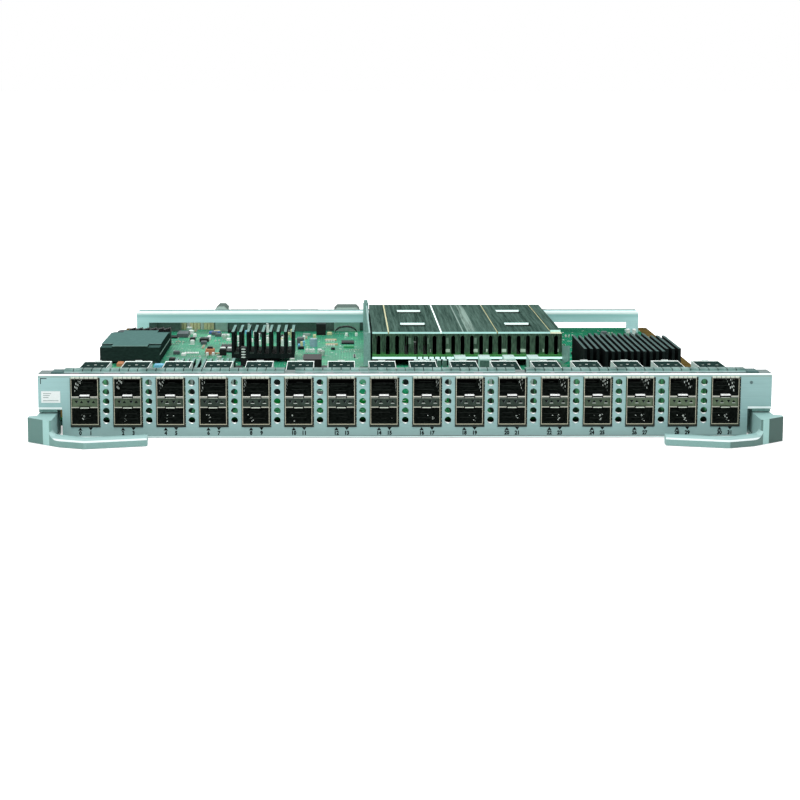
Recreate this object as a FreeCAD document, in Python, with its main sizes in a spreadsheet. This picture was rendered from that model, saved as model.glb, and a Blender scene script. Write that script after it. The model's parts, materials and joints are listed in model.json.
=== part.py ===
"""Switch line card: a circuit board on a sheet tray behind a slim faceplate.

The faceplate carries sixteen stacked port cages and two swinging ejector levers.
Lengths are millimetres. X runs along the faceplate, +Y from front to back, +Z up.
The origin is the centre of the tray's underside, which is the face that the card rests on.
"""
import FreeCAD, Part
import math
import os
import Sketcher

DRIVING_SIZES = [
    ("tray_inset", 13.0, "tray's sides in from the faceplate's ends"),
    ("tray_short", 11.0, "tray's back edge in front of the backplane connectors' backs"),
    ("sheet", 1.0, "thickness of the tray and of other bent sheet parts"),
    ("tray_lip", 5.0, "height of the tray's front lip"),
    ("face_width", 401.0, "faceplate, side to side"),
    ("face_top", 35.6, "top of the faceplate above the rest plane"),
    ("face_lift", 0.3, "faceplate and levers clear the rest plane by this"),
    ("face_thick", 2.0, "faceplate wall"),
    ("flange_depth", 15.0, "top flange behind the faceplate"),
    ("flange_bend", 1.6, "outside radius of the top bend"),
    ("notch_width", 13.0, "lower corner notch for a lever, sideways"),
    ("notch_top", 15.9, "top of the corner notch"),
    ("port_margin", 25.375, "outer port columns' centres in from the faceplate's ends"),
    ("cage_width", 15.7, "port cage, outside"),
    ("cage_length", 65.0, "port cage, front to back"),
    ("cage_side", 0.85, "port cage side wall"),
    ("cage_floor", 1.6, "port cage floor, with its folded seam"),
    ("lower_port", 8.7, "lower port height"),
    ("lower_shelf", 0.8, "sheet over the lower port"),
    ("strip_height", 4.7, "light pipe strip between the ports"),
    ("upper_shelf", 1.1, "sheet under the upper port"),
    ("upper_port", 9.4, "upper port height"),
    ("cage_roof", 0.7, "port cage roof"),
    ("cage_rear", 0.8, "port cage rear wall"),
    ("cage_proud", 0.5, "port cage stands out of the faceplate by this"),
    ("shelf_length", 48.0, "port shelves, from the cage's front edge"),
    ("cage_tab", 4.0, "width of the tab on the cage's rear top edge"),
    ("window_gap", 0.3, "faceplate window round a cage"),
    ("window_side_gap", 1.1, "wider window gap on the right of a cage"),
    ("nose_length", 8.0, "contact nose in a port"),
    ("nose_height", 4.0, "contact nose height"),
    ("nose_width", 11.0, "contact nose width"),
    ("fit_gap", 0.1, "clearance of pieces that slide into the cage"),
    ("vent_share", 0.652, "vent hole radius, as a share of the room that it has both ways"),
    ("vent_pitch", 5.2, "vent hole spacing, upwards"),
    ("vent_low", 10.0, "centre of the lowest vent hole"),
    ("gasket_margin", 14.0, "gasket's ends in from the faceplate's ends"),
    ("finger_slit", 0.5, "slit between gasket fingers"),
    ("finger_rise", 2.0, "gasket crown above the flange"),
    ("finger_depth", 11.0, "gasket, front to back"),
    ("finger_thick", 0.5, "gasket sheet"),
    ("gasket_gap", 6.0, "space between the gasket's lengths"),
    ("end_pad_width", 7.0, "foam pad at each end of the flange"),
    ("board_inset", 2.2, "board's sides in from the faceplate's ends"),
    ("board_gap", 1.4, "faceplate to the board's front edge"),
    ("board_short", 3.6, "board's back edge in front of the backplane connectors' backs"),
    ("board_thick", 2.4, "circuit board"),
    ("board_notch_width", 13.3, "board corner cut for a lever, sideways"),
    ("board_notch_depth", 15.0, "board corner cut for a lever, front to back"),
    ("standoff_height", 3.0, "board above the tray"),
    ("standoff_radius", 3.0, "standoff and screw head"),
    ("head_height", 1.6, "screw head"),
    ("standoff_inset", 6.0, "outer standoff columns in from the tray's sides"),
    ("standoff_front", 13.5, "front standoff row behind the port cages"),
    ("standoff_middle", 13.0, "middle standoff row in front of the coil blocks"),
    ("standoff_rear", 4.0, "rear standoff row in front of the short coil"),
    ("pivot_inset", 5.0, "lever pin in from the faceplate's end"),
    ("pivot_depth", 7.0, "lever pin behind the faceplate's front"),
    ("pin_radius", 2.0, "lever pin"),
    ("pin_clear", 0.05, "running clearance round the lever pin"),
    ("pin_head", 1.2, "lever pin head"),
    ("hub_radius", 5.0, "lever hub"),
    ("lever_top", 13.7, "top of the lever's block"),
    ("grip_top", 5.6, "top of the lever's grip"),
    ("lever_bevel", 2.0, "bevel along the lever's inner front edge"),
    ("lever_corner", 3.4, "round corner between block and grip"),
    ("block_out", 4.2, "block beyond the faceplate's end"),
    ("block_side_front", 12.0, "block's outer corner in front of the faceplate"),
    ("block_side_back", 5.6, "block's back outer corner in front of the faceplate"),
    ("bend_inset", 14.5, "bend between block and grip, in from the faceplate's end"),
    ("bend_front", 28.0, "bend between block and grip, in front of the faceplate"),
    ("knee_inset", 29.0, "grip's knee in from the faceplate's end"),
    ("knee_front", 34.0, "grip's knee in front of the faceplate"),
    ("tip_inset", 61.4, "grip's tip in from the faceplate's end"),
    ("tip_front", 25.2, "grip's tip in front of the faceplate"),
    ("grip_depth", 6.0, "grip, front to back"),
    ("front_round", 4.0, "round front corners of block and grip"),
    ("ear_gap", 0.5, "lever clears its bracket's ears by this"),
    ("ear_thick", 2.0, "bracket ears"),
    ("ear_relief", 9.4, "radius cleared under the lever for the lower ear"),
    ("bracket_depth", 13.0, "bracket's back wall behind the faceplate's front"),
    ("bracket_plate", 13.0, "bracket's plate above the upper ear"),
    ("rivet_radius", 1.5, "bracket rivet"),
    ("sink_width", 125.75, "main heatsink, side to side"),
    ("sink_length", 162.0, "main heatsink, front to back"),
    ("sink_space", 6.3, "space between the main and the right heatsink, sideways"),
    ("sink_front", 235.0, "main heatsink behind the faceplate"),
    ("sink_floor", 11.2, "underside of the main heatsink"),
    ("sink_base", 2.8, "main heatsink base plate"),
    ("sink_top", 29.0, "top of the main heatsink"),
    ("sink_ledge", 2.0, "base plate in front of the fins"),
    ("fin_edge", 0.9, "outer fins' middles in from the main heatsink's sides"),
    ("fin_share", 0.58, "fin thickness, as a share of the fin spacing"),
    ("fin_corner", 0.39, "corner at the top of each fin slot, as a share of the slot"),
    ("cover_thick", 1.2, "cover plates on the main heatsink"),
    ("cover_slot", 1.0, "slot between cover plates"),
    ("cover_end", 0.081, "left cover plate, as a share of the heatsink's width"),
    ("cover_second", 0.269, "second cover plate, as a share of the heatsink's width"),
    ("cover_middle", 0.2887, "middle cover plate, as a share of the heatsink's width"),
    ("cover_fourth", 0.2746, "fourth cover plate, as a share of the heatsink's width"),
    ("cover_setback", 10.0, "right cover plate starts behind the others"),
    ("window_width", 17.0, "heatsink window, sideways"),
    ("window_length", 20.0, "heatsink window, front to back"),
    ("window_left", 0.224, "left windows' middle, as a share of the heatsink's width"),
    ("window_right", 0.792, "right windows' middle, as a share of the heatsink's width"),
    ("window_front", 40.0, "front windows from the heatsink's front"),
    ("window_rear", 117.0, "rear windows from the heatsink's front"),
    ("chip_size", 62.0, "switch chip package"),
    ("chip_lid", 46.0, "switch chip lid"),
    ("chip_base", 2.0, "switch chip substrate"),
    ("side_fin_base", 3.0, "base plate of the two smaller heatsinks"),
    ("side_sink_floor", 9.0, "underside of the two smaller heatsinks"),
    ("left_sink_x", -87.6, "left heatsink centre"),
    ("left_sink_front", 253.0, "left heatsink behind the faceplate"),
    ("left_sink_width", 42.0, "left heatsink, side to side"),
    ("left_sink_length", 39.0, "left heatsink, front to back"),
    ("left_sink_top", 26.9, "top of the left heatsink"),
    ("left_fin_pitch", 5.02, "left heatsink fin spacing"),
    ("left_fin_thick", 1.8, "left heatsink fin"),
    ("right_sink_inset", 19.6, "right heatsink in from the board's right edge"),
    ("right_sink_front", 153.0, "right heatsink behind the faceplate"),
    ("right_sink_width", 61.0, "right heatsink, side to side"),
    ("right_sink_length", 91.0, "right heatsink, front to back"),
    ("right_sink_top", 27.0, "top of the right heatsink"),
    ("right_fin_pitch", 3.95, "right heatsink fin spacing"),
    ("right_fin_thick", 1.75, "right heatsink fin"),
    ("right_fin_setback", 12.5, "shorter outer fins start behind the others"),
    ("front_sink_columns", -5.02, "front heatsink centre, in port columns from the middle"),
    ("front_sink_front", 85.0, "front heatsink behind the faceplate"),
    ("front_sink_width", 36.0, "front heatsink, side to side"),
    ("front_sink_length", 40.0, "front heatsink, front to back"),
    ("front_sink_top", 27.0, "top of the front heatsink"),
    ("front_fin_pitch", 3.4, "front heatsink fin spacing"),
    ("front_fin_thick", 1.5, "front heatsink fin"),
    ("module_front", 246.0, "power module behind the faceplate"),
    ("module_inset", 2.1, "power module in from the board's left edge"),
    ("module_width", 40.0, "power module, side to side"),
    ("module_length", 83.0, "power module, front to back"),
    ("module_floor", 7.5, "underside of the power module"),
    ("module_top", 18.5, "top of the power module"),
    ("module_step", 1.2, "depth of the module's corner recesses"),
    ("recess_width", 8.0, "module corner recess, sideways"),
    ("recess_length", 12.0, "module corner recess, front to back"),
    ("rail_over", 0.3, "rear rail beyond the tray's sides"),
    ("rail_gap", 12.0, "rear rail behind the main heatsink"),
    ("rail_low", 14.3, "lower edge of the rear rail"),
    ("rail_top", 23.6, "top of the rear rail"),
    ("rail_depth", 5.0, "rear rail's top flange"),
    ("rail_leg", 9.0, "rear rail's legs, sideways"),
    ("rail_foot", 8.0, "rear rail's feet, front to back"),
    ("rail_sheet", 1.5, "rear rail sheet"),
    ("rail_bend", 3.0, "outside radius of the rail's top bend"),
    ("rail_corner", 2.0, "cut corners at the ends of the rail's top"),
    ("baffle_height", 22.0, "left air baffle above the board"),
    ("baffle_space", 1.3, "left air baffle beside the main heatsink"),
    ("baffle_flange", 3.5, "left air baffle's front flange"),
    ("guide_radius", 1.95, "guide post"),
    ("guide_top", 32.0, "top of the guide post"),
    ("guide_back", 2.5, "guide post behind the left baffle"),
    ("side_baffle_front", 198.0, "right air baffle behind the faceplate"),
    ("side_baffle_length", 52.0, "right air baffle, front to back"),
    ("side_baffle_low", 9.4, "lower edge of the right air baffle"),
    ("side_baffle_top", 24.6, "top of the right air baffle at its front"),
    ("side_baffle_fall", 6.8, "the right air baffle's top falls by this towards the back"),
    ("side_baffle_rake", 5.2, "the right air baffle's lower edge rises by this towards the front"),
    ("side_baffle_hole", 1.5, "hole in the right air baffle"),
    ("plug_gap", 10.0, "backplane connectors behind the rear rail's front"),
    ("plug_depth", 24.0, "backplane connector, front to back"),
    ("plug_width", 21.0, "backplane connector, sideways"),
    ("plug_pitch", 23.0, "backplane connector spacing"),
    ("plug_top", 20.5, "top of the backplane connectors"),
    ("plug_first_x", -4.0, "first connector of the right bank"),
    ("plug_left_x", -109.0, "first connector of the left bank"),
    ("outer_guide_width", 9.3, "outer guide module, sideways"),
    ("outer_guide_top", 25.3, "top of the outer guide module"),
    ("inner_guide_width", 19.3, "guide module between the banks, sideways"),
    ("inner_guide_top", 24.4, "top of the guide module between the banks"),
    ("inner_guide_gap", 5.5, "guide module between the banks to the right bank"),
    ("guide_corner", 2.4, "cut upper corners of the guide modules"),
    ("supply_inset", 31.3, "power connector's centre in from the board's left edge"),
    ("supply_width", 22.0, "power connector, sideways"),
    ("coil_x", 53.9, "first coil block's left side from the main heatsink's left side"),
    ("coil_width", 7.4, "coil block, sideways"),
    ("coil_pitch", 16.0, "coil block spacing"),
    ("coil_length", 20.0, "coil block, front to back"),
    ("coil_top", 14.0, "top of the coil blocks"),
    ("row_part", 2.6, "width of the parts in the small row"),
    ("row_pitch", 3.75, "spacing of the small row"),
    ("row_x", 27.2, "first part of the small row from the main heatsink's left side"),
    ("row_top", 12.5, "top of the small row"),
    ("can_radius", 2.7, "round capacitor"),
    ("can_top", 12.0, "top of the round capacitors"),
    ("tall_x", -38.7, "tall coil's centre from the main heatsink's left side"),
    ("tall_front", 150.0, "tall coil behind the faceplate"),
    ("tall_width", 11.5, "tall coil, sideways"),
    ("tall_length", 25.0, "tall coil, front to back"),
    ("tall_top", 22.6, "top of the tall coil"),
    ("short_x", -35.5, "short coil's centre from the main heatsink's left side"),
    ("short_gap", 6.0, "short coil in front of the rear rail"),
    ("short_width", 7.0, "short coil, sideways and front to back"),
    ("short_top", 14.7, "top of the short coil"),
    ("package", 20.0, "port chip package side"),
    ("package_front", 92.0, "port chips behind the faceplate"),
    ("package_height", 2.2, "port chip package height"),
    ("memory_width", 9.0, "memory chip, sideways"),
    ("memory_length", 13.0, "memory chip, front to back"),
    ("memory_height", 1.3, "memory chip height"),
    ("lamp_radius", 0.9, "status lamp"),
    ("lamp_inset", 11.3, "status lamp in from the faceplate's right end"),
    ("lamp_height", 30.6, "status lamp's centre"),
]

PORT_COLUMNS = 16
VENT_ROWS = 5
VENT_SIDES = 8
HEX_SIDES = 6
HEAD_SIDES = 10
ROUND_SIDES = 12
FIN_COUNT = 21
LEFT_FINS = 9
RIGHT_FINS = 16
RIGHT_SHORT_FINS = 3
FRONT_FINS = 11
GASKET_LENGTHS = 3
FINGERS = 24
LEFT_PLUGS = 3
RIGHT_PLUGS = 6
COIL_COUNT = 4
ROW_COUNT = 7
PORT_CHIPS = 4

# Places on the board: X from the main heatsink's left side, and the distance behind the faceplate's front.
CAN_PLACES = [(-40.3, 332.0), (-22.4, 150.0), (-14.4, 150.0), (163.6, 300.0), (175.6, 300.0), (-106.4, 200.0)]
MEMORY_PLACES = [
    (-46.4, 215.0), (-34.4, 215.0), (-22.4, 215.0), (-20.4, 344.0), (-94.4, 215.0), (138.6, 280.0), (150.6, 280.0),
]

# The same for two chips beside the power module, with X from its right side.
MODULE_MEMORY_PLACES = [(36.2, 322.0), (36.2, 300.0)]


class Size:
    """A length as a number, with the sheet expression that gives it."""

    def __init__(self, value, text):
        self.value = value
        self.text = text

    def __add__(self, other):
        return Size(self.value + number(other), f"({self.text} + {formula(other)})")

    def __radd__(self, other):
        return Size(number(other) + self.value, f"({formula(other)} + {self.text})")

    def __sub__(self, other):
        return Size(self.value - number(other), f"({self.text} - {formula(other)})")

    def __rsub__(self, other):
        return Size(number(other) - self.value, f"({formula(other)} - {self.text})")

    def __mul__(self, other):
        return Size(self.value * number(other), f"({self.text} * {formula(other)})")

    def __rmul__(self, other):
        return Size(number(other) * self.value, f"({formula(other)} * {self.text})")

    def __truediv__(self, other):
        return Size(self.value / number(other), f"({self.text} / {formula(other)})")

    def __neg__(self):
        return Size(-self.value, f"(0 - {self.text})")


def number(item):
    return item.value if isinstance(item, Size) else float(item)


def formula(item):
    return item.text if isinstance(item, Size) else repr(float(item))


doc = FreeCAD.newDocument("switch_line_card")
sheet = doc.addObject("Spreadsheet::Sheet", "Sizes")
SIZE = {}
for row, (alias, value, note) in enumerate(DRIVING_SIZES, start=1):
    sheet.set(f"A{row}", alias)
    sheet.set(f"B{row}", str(value))
    sheet.set(f"C{row}", note)
    sheet.setAlias(f"B{row}", alias)
    SIZE[alias] = Size(value, f"Sizes.{alias}")
doc.recompute()


def size(alias):
    return SIZE[alias]


EDGE = size("face_width") / 2
TRAY_HALF = EDGE - size("tray_inset")
BOARD_HALF = EDGE - size("board_inset")
RAIL_GAP = size("sink_front") + size("sink_length") + size("rail_gap")
PLUG_BACK = RAIL_GAP + size("plug_gap") + size("plug_depth")
TRAY_LENGTH = PLUG_BACK - size("tray_short") - size("face_thick")
FRONT = -(TRAY_LENGTH / 2 + size("face_thick"))
RAIL_FRONT = FRONT + RAIL_GAP
PLUG_FRONT = RAIL_FRONT + size("plug_gap")
PORT_PITCH = (size("face_width") - size("port_margin") * 2) / (PORT_COLUMNS - 1)
BOARD_LOW = size("sheet") + size("standoff_height")
BOARD_TOP = BOARD_LOW + size("board_thick")
CAGE_FRONT = FRONT - size("cage_proud")
LOWER_FLOOR = BOARD_TOP + size("cage_floor")
LOWER_ROOF = LOWER_FLOOR + size("lower_port")
STRIP_LOW = LOWER_ROOF + size("lower_shelf")
STRIP_TOP = STRIP_LOW + size("strip_height")
UPPER_FLOOR = STRIP_TOP + size("upper_shelf")
UPPER_ROOF = UPPER_FLOOR + size("upper_port")
CAGE_TOP = UPPER_ROOF + size("cage_roof")
PORT_HALF = size("cage_width") / 2 - size("cage_side")
RIGHT_SINK_X = BOARD_HALF - size("right_sink_inset") - size("right_sink_width") / 2
SINK_RIGHT = RIGHT_SINK_X - size("right_sink_width") / 2 - size("sink_space")
SINK_LEFT = SINK_RIGHT - size("sink_width")
SINK_FRONT = FRONT + size("sink_front")
COIL_FRONT = SINK_FRONT - size("sink_ledge") - size("coil_length")
SINK_BACK = SINK_FRONT + size("sink_length")
MODULE_LEFT = size("module_inset") - BOARD_HALF
SHORT_COIL_FRONT = RAIL_FRONT - size("short_gap") - size("short_width")
COVER_LOW = size("sink_top") - size("cover_thick")
NODES = {}


def bind(item, name, length):
    """Sets one property of an object and ties it to the sheet."""
    item.setExpression(name, formula(length))


def keep(name, item):
    """Makes an object a sub-part under the name that its file gets."""
    item.Label = name
    NODES[name] = item
    return item


def port_x(column):
    return (column - (PORT_COLUMNS - 1) / 2) * PORT_PITCH


def add_box(name, x_span, y_span, z_span):
    box = doc.addObject("Part::Box", name)
    for prop, span in (("Length", x_span), ("Width", y_span), ("Height", z_span)):
        bind(box, prop, span[1] - span[0])
    for axis, span in (("x", x_span), ("y", y_span), ("z", z_span)):
        bind(box, f"Placement.Base.{axis}", span[0])
    return box


def add_cylinder(name, place, z_span, radius):
    rod = doc.addObject("Part::Cylinder", name)
    bind(rod, "Radius", radius)
    bind(rod, "Height", z_span[1] - z_span[0])
    for axis, length in zip("xyz", (place[0], place[1], z_span[0])):
        bind(rod, f"Placement.Base.{axis}", length)
    return rod


def add_prism(name, place, z_span, radius, sides):
    """A many-sided post, as a hex standoff or a screw head."""
    post = doc.addObject("Part::Prism", name)
    post.Polygon = sides
    bind(post, "Circumradius", radius)
    bind(post, "Height", z_span[1] - z_span[0])
    for axis, length in zip("xyz", (place[0], place[1], z_span[0])):
        bind(post, f"Placement.Base.{axis}", length)
    return post


def turn_back(item, place):
    """Lays an upright primitive down, so that it runs towards +Y from its place."""
    item.Placement = FreeCAD.Placement(FreeCAD.Vector(), FreeCAD.Rotation(FreeCAD.Vector(1, 0, 0), -90))
    for axis, position in zip("xyz", place):
        bind(item, f"Placement.Base.{axis}", position)
    return item


def add_cut(name, base, tools):
    for index, tool in enumerate(tools):
        cut = doc.addObject("Part::Cut", f"{name}_cut_{index}")
        cut.Base = base
        cut.Tool = tool
        base = cut
    return base


def add_union(name, pieces):
    union = doc.addObject("Part::MultiFuse", name)
    union.Shapes = pieces
    union.Refine = True
    return union


def add_group(name, pieces):
    group = doc.addObject("Part::Compound", name)
    group.Links = pieces
    return group


def add_body(name):
    return doc.addObject("PartDesign::Body", name)


def origin_feature(body, role):
    return next(item for item in body.Origin.OriginFeatures if item.Role == role)


def add_sketch(body, name, role, offset=None):
    sketch = body.newObject("Sketcher::SketchObject", name)
    sketch.AttachmentSupport = [(origin_feature(body, role), "")]
    sketch.MapMode = "FlatFace"
    if offset is not None:
        bind(sketch, "AttachmentOffset.Base.z", offset)
    return sketch


def tie(sketch, kind, places, length):
    """Adds a dimension to a sketch and ties it to the sheet."""
    index = sketch.addConstraint(Sketcher.Constraint(kind, *places, number(length)))
    if isinstance(length, Size):
        sketch.setExpression(f"Constraints[{index}]", length.text)


def add_outline(sketch, points):
    """Joins points with straight lines, each point tied to the sheet."""
    first = sketch.GeometryCount
    count = len(points)
    corners = [FreeCAD.Vector(number(u), number(v), 0) for u, v in points]
    for index in range(count):
        line = Part.LineSegment(corners[index], corners[(index + 1) % count])
        sketch.addGeometry(line, False)
    for index in range(count):
        after = first + (index + 1) % count
        sketch.addConstraint(Sketcher.Constraint("Coincident", first + index, 2, after, 1))
    for index, (u, v) in enumerate(points):
        tie(sketch, "DistanceX", (-1, 1, first + index, 1), u)
        tie(sketch, "DistanceY", (-1, 1, first + index, 1), v)


def add_circle(sketch, u, v, radius):
    centre = FreeCAD.Vector(number(u), number(v), 0)
    circle = Part.Circle(centre, FreeCAD.Vector(0, 0, 1), number(radius))
    index = sketch.addGeometry(circle, False)
    tie(sketch, "Radius", (index,), radius)
    tie(sketch, "DistanceX", (-1, 1, index, 3), u)
    tie(sketch, "DistanceY", (-1, 1, index, 3), v)


def regular_outline(u, v, inner_radius, sides):
    """The corners of a regular outline that just clears a circle."""
    outer = inner_radius / math.cos(math.pi / sides)
    turns = [(index + 0.5) * 2 * math.pi / sides for index in range(sides)]
    return [(u + outer * math.cos(turn), v + outer * math.sin(turn)) for turn in turns]


def rectangle(u_span, v_span):
    return [(u_span[0], v_span[0]), (u_span[1], v_span[0]), (u_span[1], v_span[1]), (u_span[0], v_span[1])]


def add_pad(body, name, sketch, length, reverse=False):
    pad = body.newObject("PartDesign::Pad", name)
    pad.Profile = sketch
    pad.Reversed = reverse
    bind(pad, "Length", length)
    return pad


def add_pocket(body, name, sketch, length, reverse=False):
    pocket = body.newObject("PartDesign::Pocket", name)
    pocket.Profile = sketch
    pocket.Reversed = reverse
    bind(pocket, "Length", length)
    return pocket


def add_row(body, name, feature, role, spacing, count):
    """Repeats a feature along an axis of its body."""
    pattern = body.newObject("PartDesign::LinearPattern", name)
    pattern.Originals = [feature]
    pattern.Direction = (origin_feature(body, role), [""])
    pattern.Occurrences = count
    bind(pattern, "Length", spacing * (count - 1))
    body.Tip = pattern
    return pattern


def pick_edges(feature, test):
    """Names the edges of a feature that pass a test."""
    doc.recompute()
    edges = enumerate(feature.Shape.Edges, start=1)
    return [f"Edge{index}" for index, edge in edges if test(edge)]


def is_along(edge, direction):
    ends = [vertex.Point for vertex in edge.Vertexes]
    if len(ends) < 2:
        return False
    run = (ends[1] - ends[0]).normalize()
    return abs(abs(run.dot(direction)) - 1) < 1e-6


def add_fillet(body, name, feature, radius, test):
    fillet = body.newObject("PartDesign::Fillet", name)
    fillet.Base = (feature, pick_edges(feature, test))
    bind(fillet, "Radius", radius)
    return fillet


X_AXIS = FreeCAD.Vector(1, 0, 0)
Y_AXIS = FreeCAD.Vector(0, 1, 0)
Z_AXIS = FreeCAD.Vector(0, 0, 1)


def make_faceplate():
    """A folded plate with port windows, vent columns and lever notches."""
    body = add_body("faceplate_body")
    plate = add_sketch(body, "faceplate_outline", "XZ_Plane", -FRONT)
    low = size("face_lift")
    top = size("face_top")
    notch = EDGE - size("notch_width")
    add_outline(plate, [
        (-notch, low), (notch, low), (notch, size("notch_top")), (EDGE, size("notch_top")),
        (EDGE, top), (-EDGE, top), (-EDGE, size("notch_top")), (-notch, size("notch_top")),
    ])
    wall = add_pad(body, "faceplate_wall", plate, size("face_thick"), True)
    flange = add_sketch(body, "faceplate_flange_outline", "XY_Plane", top)
    flange_back = FRONT + size("flange_depth")
    add_outline(flange, rectangle((-EDGE, EDGE), (FRONT, flange_back)))
    folded = add_pad(body, "faceplate_flange", flange, size("face_thick"), True)

    def on_bend(edge):
        middle = edge.CenterOfMass
        at_front = abs(middle.y - FRONT.value) < 1e-6
        return is_along(edge, X_AXIS) and at_front and abs(middle.z - top.value) < 1e-6

    add_fillet(body, "faceplate_bend", folded, size("flange_bend"), on_bend)
    window = add_sketch(body, "port_window", "XZ_Plane", -FRONT)
    half = size("cage_width") / 2
    first = port_x(0)
    sides = (first - half - size("window_gap"), first + half + size("window_side_gap"))
    heights = (BOARD_TOP - size("window_gap"), CAGE_TOP + size("window_gap") / 2)
    add_outline(window, rectangle(sides, heights))
    cut = add_pocket(body, "port_window_cut", window, size("face_thick"))
    add_row(body, "port_windows", cut, "X_Axis", PORT_PITCH, PORT_COLUMNS)
    vents = add_sketch(body, "vent_column", "XZ_Plane", -FRONT)
    metal = PORT_PITCH - size("cage_width") - size("window_gap") - size("window_side_gap")
    room = metal * size("vent_pitch") / (metal + size("vent_pitch"))
    radius = room * size("vent_share")
    for level in range(VENT_ROWS):
        height = size("vent_low") + level * size("vent_pitch")
        add_outline(vents, regular_outline(first + PORT_PITCH / 2, height, radius, VENT_SIDES))
    drilled = add_pocket(body, "vent_column_cut", vents, size("face_thick"))
    add_row(body, "vent_columns", drilled, "X_Axis", PORT_PITCH, PORT_COLUMNS - 1)
    keep("faceplate", body)


def gasket_sections():
    """The left end and the span of each gasket length along the flange."""
    gaps = (GASKET_LENGTHS - 1) * size("gasket_gap")
    span = (size("face_width") - size("gasket_margin") * 2 - gaps) / GASKET_LENGTHS
    first = size("gasket_margin") - EDGE
    return [(first + index * (span + size("gasket_gap")), span) for index in range(GASKET_LENGTHS)]


def make_gasket():
    """Arched spring fingers on the top flange, in three lengths."""
    low = size("face_top")
    start = FRONT + size("face_thick")
    end = start + size("finger_depth")
    inset = size("finger_depth") / 5
    crown = low + size("finger_rise")
    wall = size("finger_thick")
    lengths = []
    for index, (left, span) in enumerate(gasket_sections()):
        body = add_body(f"gasket_{index}_body")
        arch = add_sketch(body, f"gasket_{index}_arch", "YZ_Plane", left)
        add_outline(arch, [
            (start, low), (start + wall, low), (start + inset + wall / 2, crown - wall),
            (end - inset - wall / 2, crown - wall), (end - wall, low), (end, low),
            (end - inset, crown), (start + inset, crown),
        ])
        add_pad(body, f"gasket_{index}_pad", arch, span)
        slit = add_sketch(body, f"gasket_{index}_slit", "XY_Plane", crown)
        pitch = span / FINGERS
        centre = left + pitch
        half = size("finger_slit") / 2
        add_outline(slit, rectangle((centre - half, centre + half), (start + inset / 2, end)))
        cut = add_pocket(body, f"gasket_{index}_cut", slit, size("finger_rise"))
        add_row(body, f"gasket_{index}_fingers", cut, "X_Axis", pitch, FINGERS - 1)
        lengths.append(body)
    keep("gasket_fingers", add_group("gasket_group", lengths))
    reach = EDGE - size("gasket_margin") + size("fit_gap")
    wide = size("end_pad_width")
    pads = []
    for name, across in (("left", (-reach - wide, -reach)), ("right", (reach, reach + wide))):
        pads.append(make_gasket_pad(name, across, (start, end)))
    keep("gasket_pads", add_group("gasket_pad_group", pads))


def make_gasket_pad(name, across, along):
    """A round-topped foam pad that closes one end of the gasket."""
    height = size("finger_rise") / 2
    body = add_body(f"{name}_pad_body")
    outline = add_sketch(body, f"{name}_pad_outline", "XY_Plane", size("face_top"))
    add_outline(outline, rectangle(across, along))
    block = add_pad(body, f"{name}_pad_block", outline, height)
    top = number(size("face_top") + height)

    def on_top(edge):
        return abs(edge.CenterOfMass.z - top) < 1e-6

    add_fillet(body, f"{name}_pad_round", block, height * 0.8, on_top)
    return body


def make_tray():
    """The bottom sheet, folded up behind the faceplate."""
    half = TRAY_HALF
    back = TRAY_LENGTH / 2
    body = add_body("tray_body")
    floor = add_sketch(body, "tray_floor_outline", "XY_Plane")
    add_outline(floor, rectangle((-half, half), (-back, back)))
    add_pad(body, "tray_floor", floor, size("sheet"))
    lip = add_sketch(body, "tray_lip_outline", "YZ_Plane", -half)
    add_outline(lip, rectangle((-back, -back + size("sheet")), (size("sheet") / 2, size("tray_lip"))))
    add_pad(body, "tray_lip", lip, half * 2)
    keep("bottom_tray", body)


def make_board():
    """The circuit board, with its front corners cut back for the levers."""
    half = BOARD_HALF
    front = FRONT + size("face_thick") + size("board_gap")
    back = FRONT + PLUG_BACK - size("board_short")
    shoulder = half - size("board_notch_width")
    notch = front + size("board_notch_depth")
    body = add_body("board_body")
    outline = add_sketch(body, "board_outline", "XY_Plane", BOARD_LOW)
    add_outline(outline, [
        (-shoulder, front), (shoulder, front), (shoulder, notch), (half, notch),
        (half, back), (-half, back), (-half, notch), (-shoulder, notch),
    ])
    add_pad(body, "board_pad", outline, size("board_thick"))
    keep("circuit_board", body)


def make_standoffs():
    """Spacers between tray and board, with a screw head over each."""
    spacers = []
    heads = []
    columns = [(TRAY_HALF - size("standoff_inset")) * share for share in (-1, -1 / 3, 1 / 3, 1)]
    rows = [
        CAGE_FRONT + size("cage_length") + size("standoff_front"),
        COIL_FRONT - size("standoff_middle"),
        SHORT_COIL_FRONT - size("standoff_rear"),
    ]
    for index, place in enumerate((x, y) for x in columns for y in rows):
        radius = size("standoff_radius")
        under = (size("sheet"), BOARD_LOW)
        spacers.append(add_prism(f"standoff_{index}", place, under, radius, HEX_SIDES))
        over = (BOARD_TOP, BOARD_TOP + size("head_height"))
        heads.append(add_prism(f"board_screw_{index}", place, over, radius, HEAD_SIDES))
    keep("board_standoffs", add_group("standoff_group", spacers))
    keep("board_screws", add_group("board_screw_group", heads))


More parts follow.
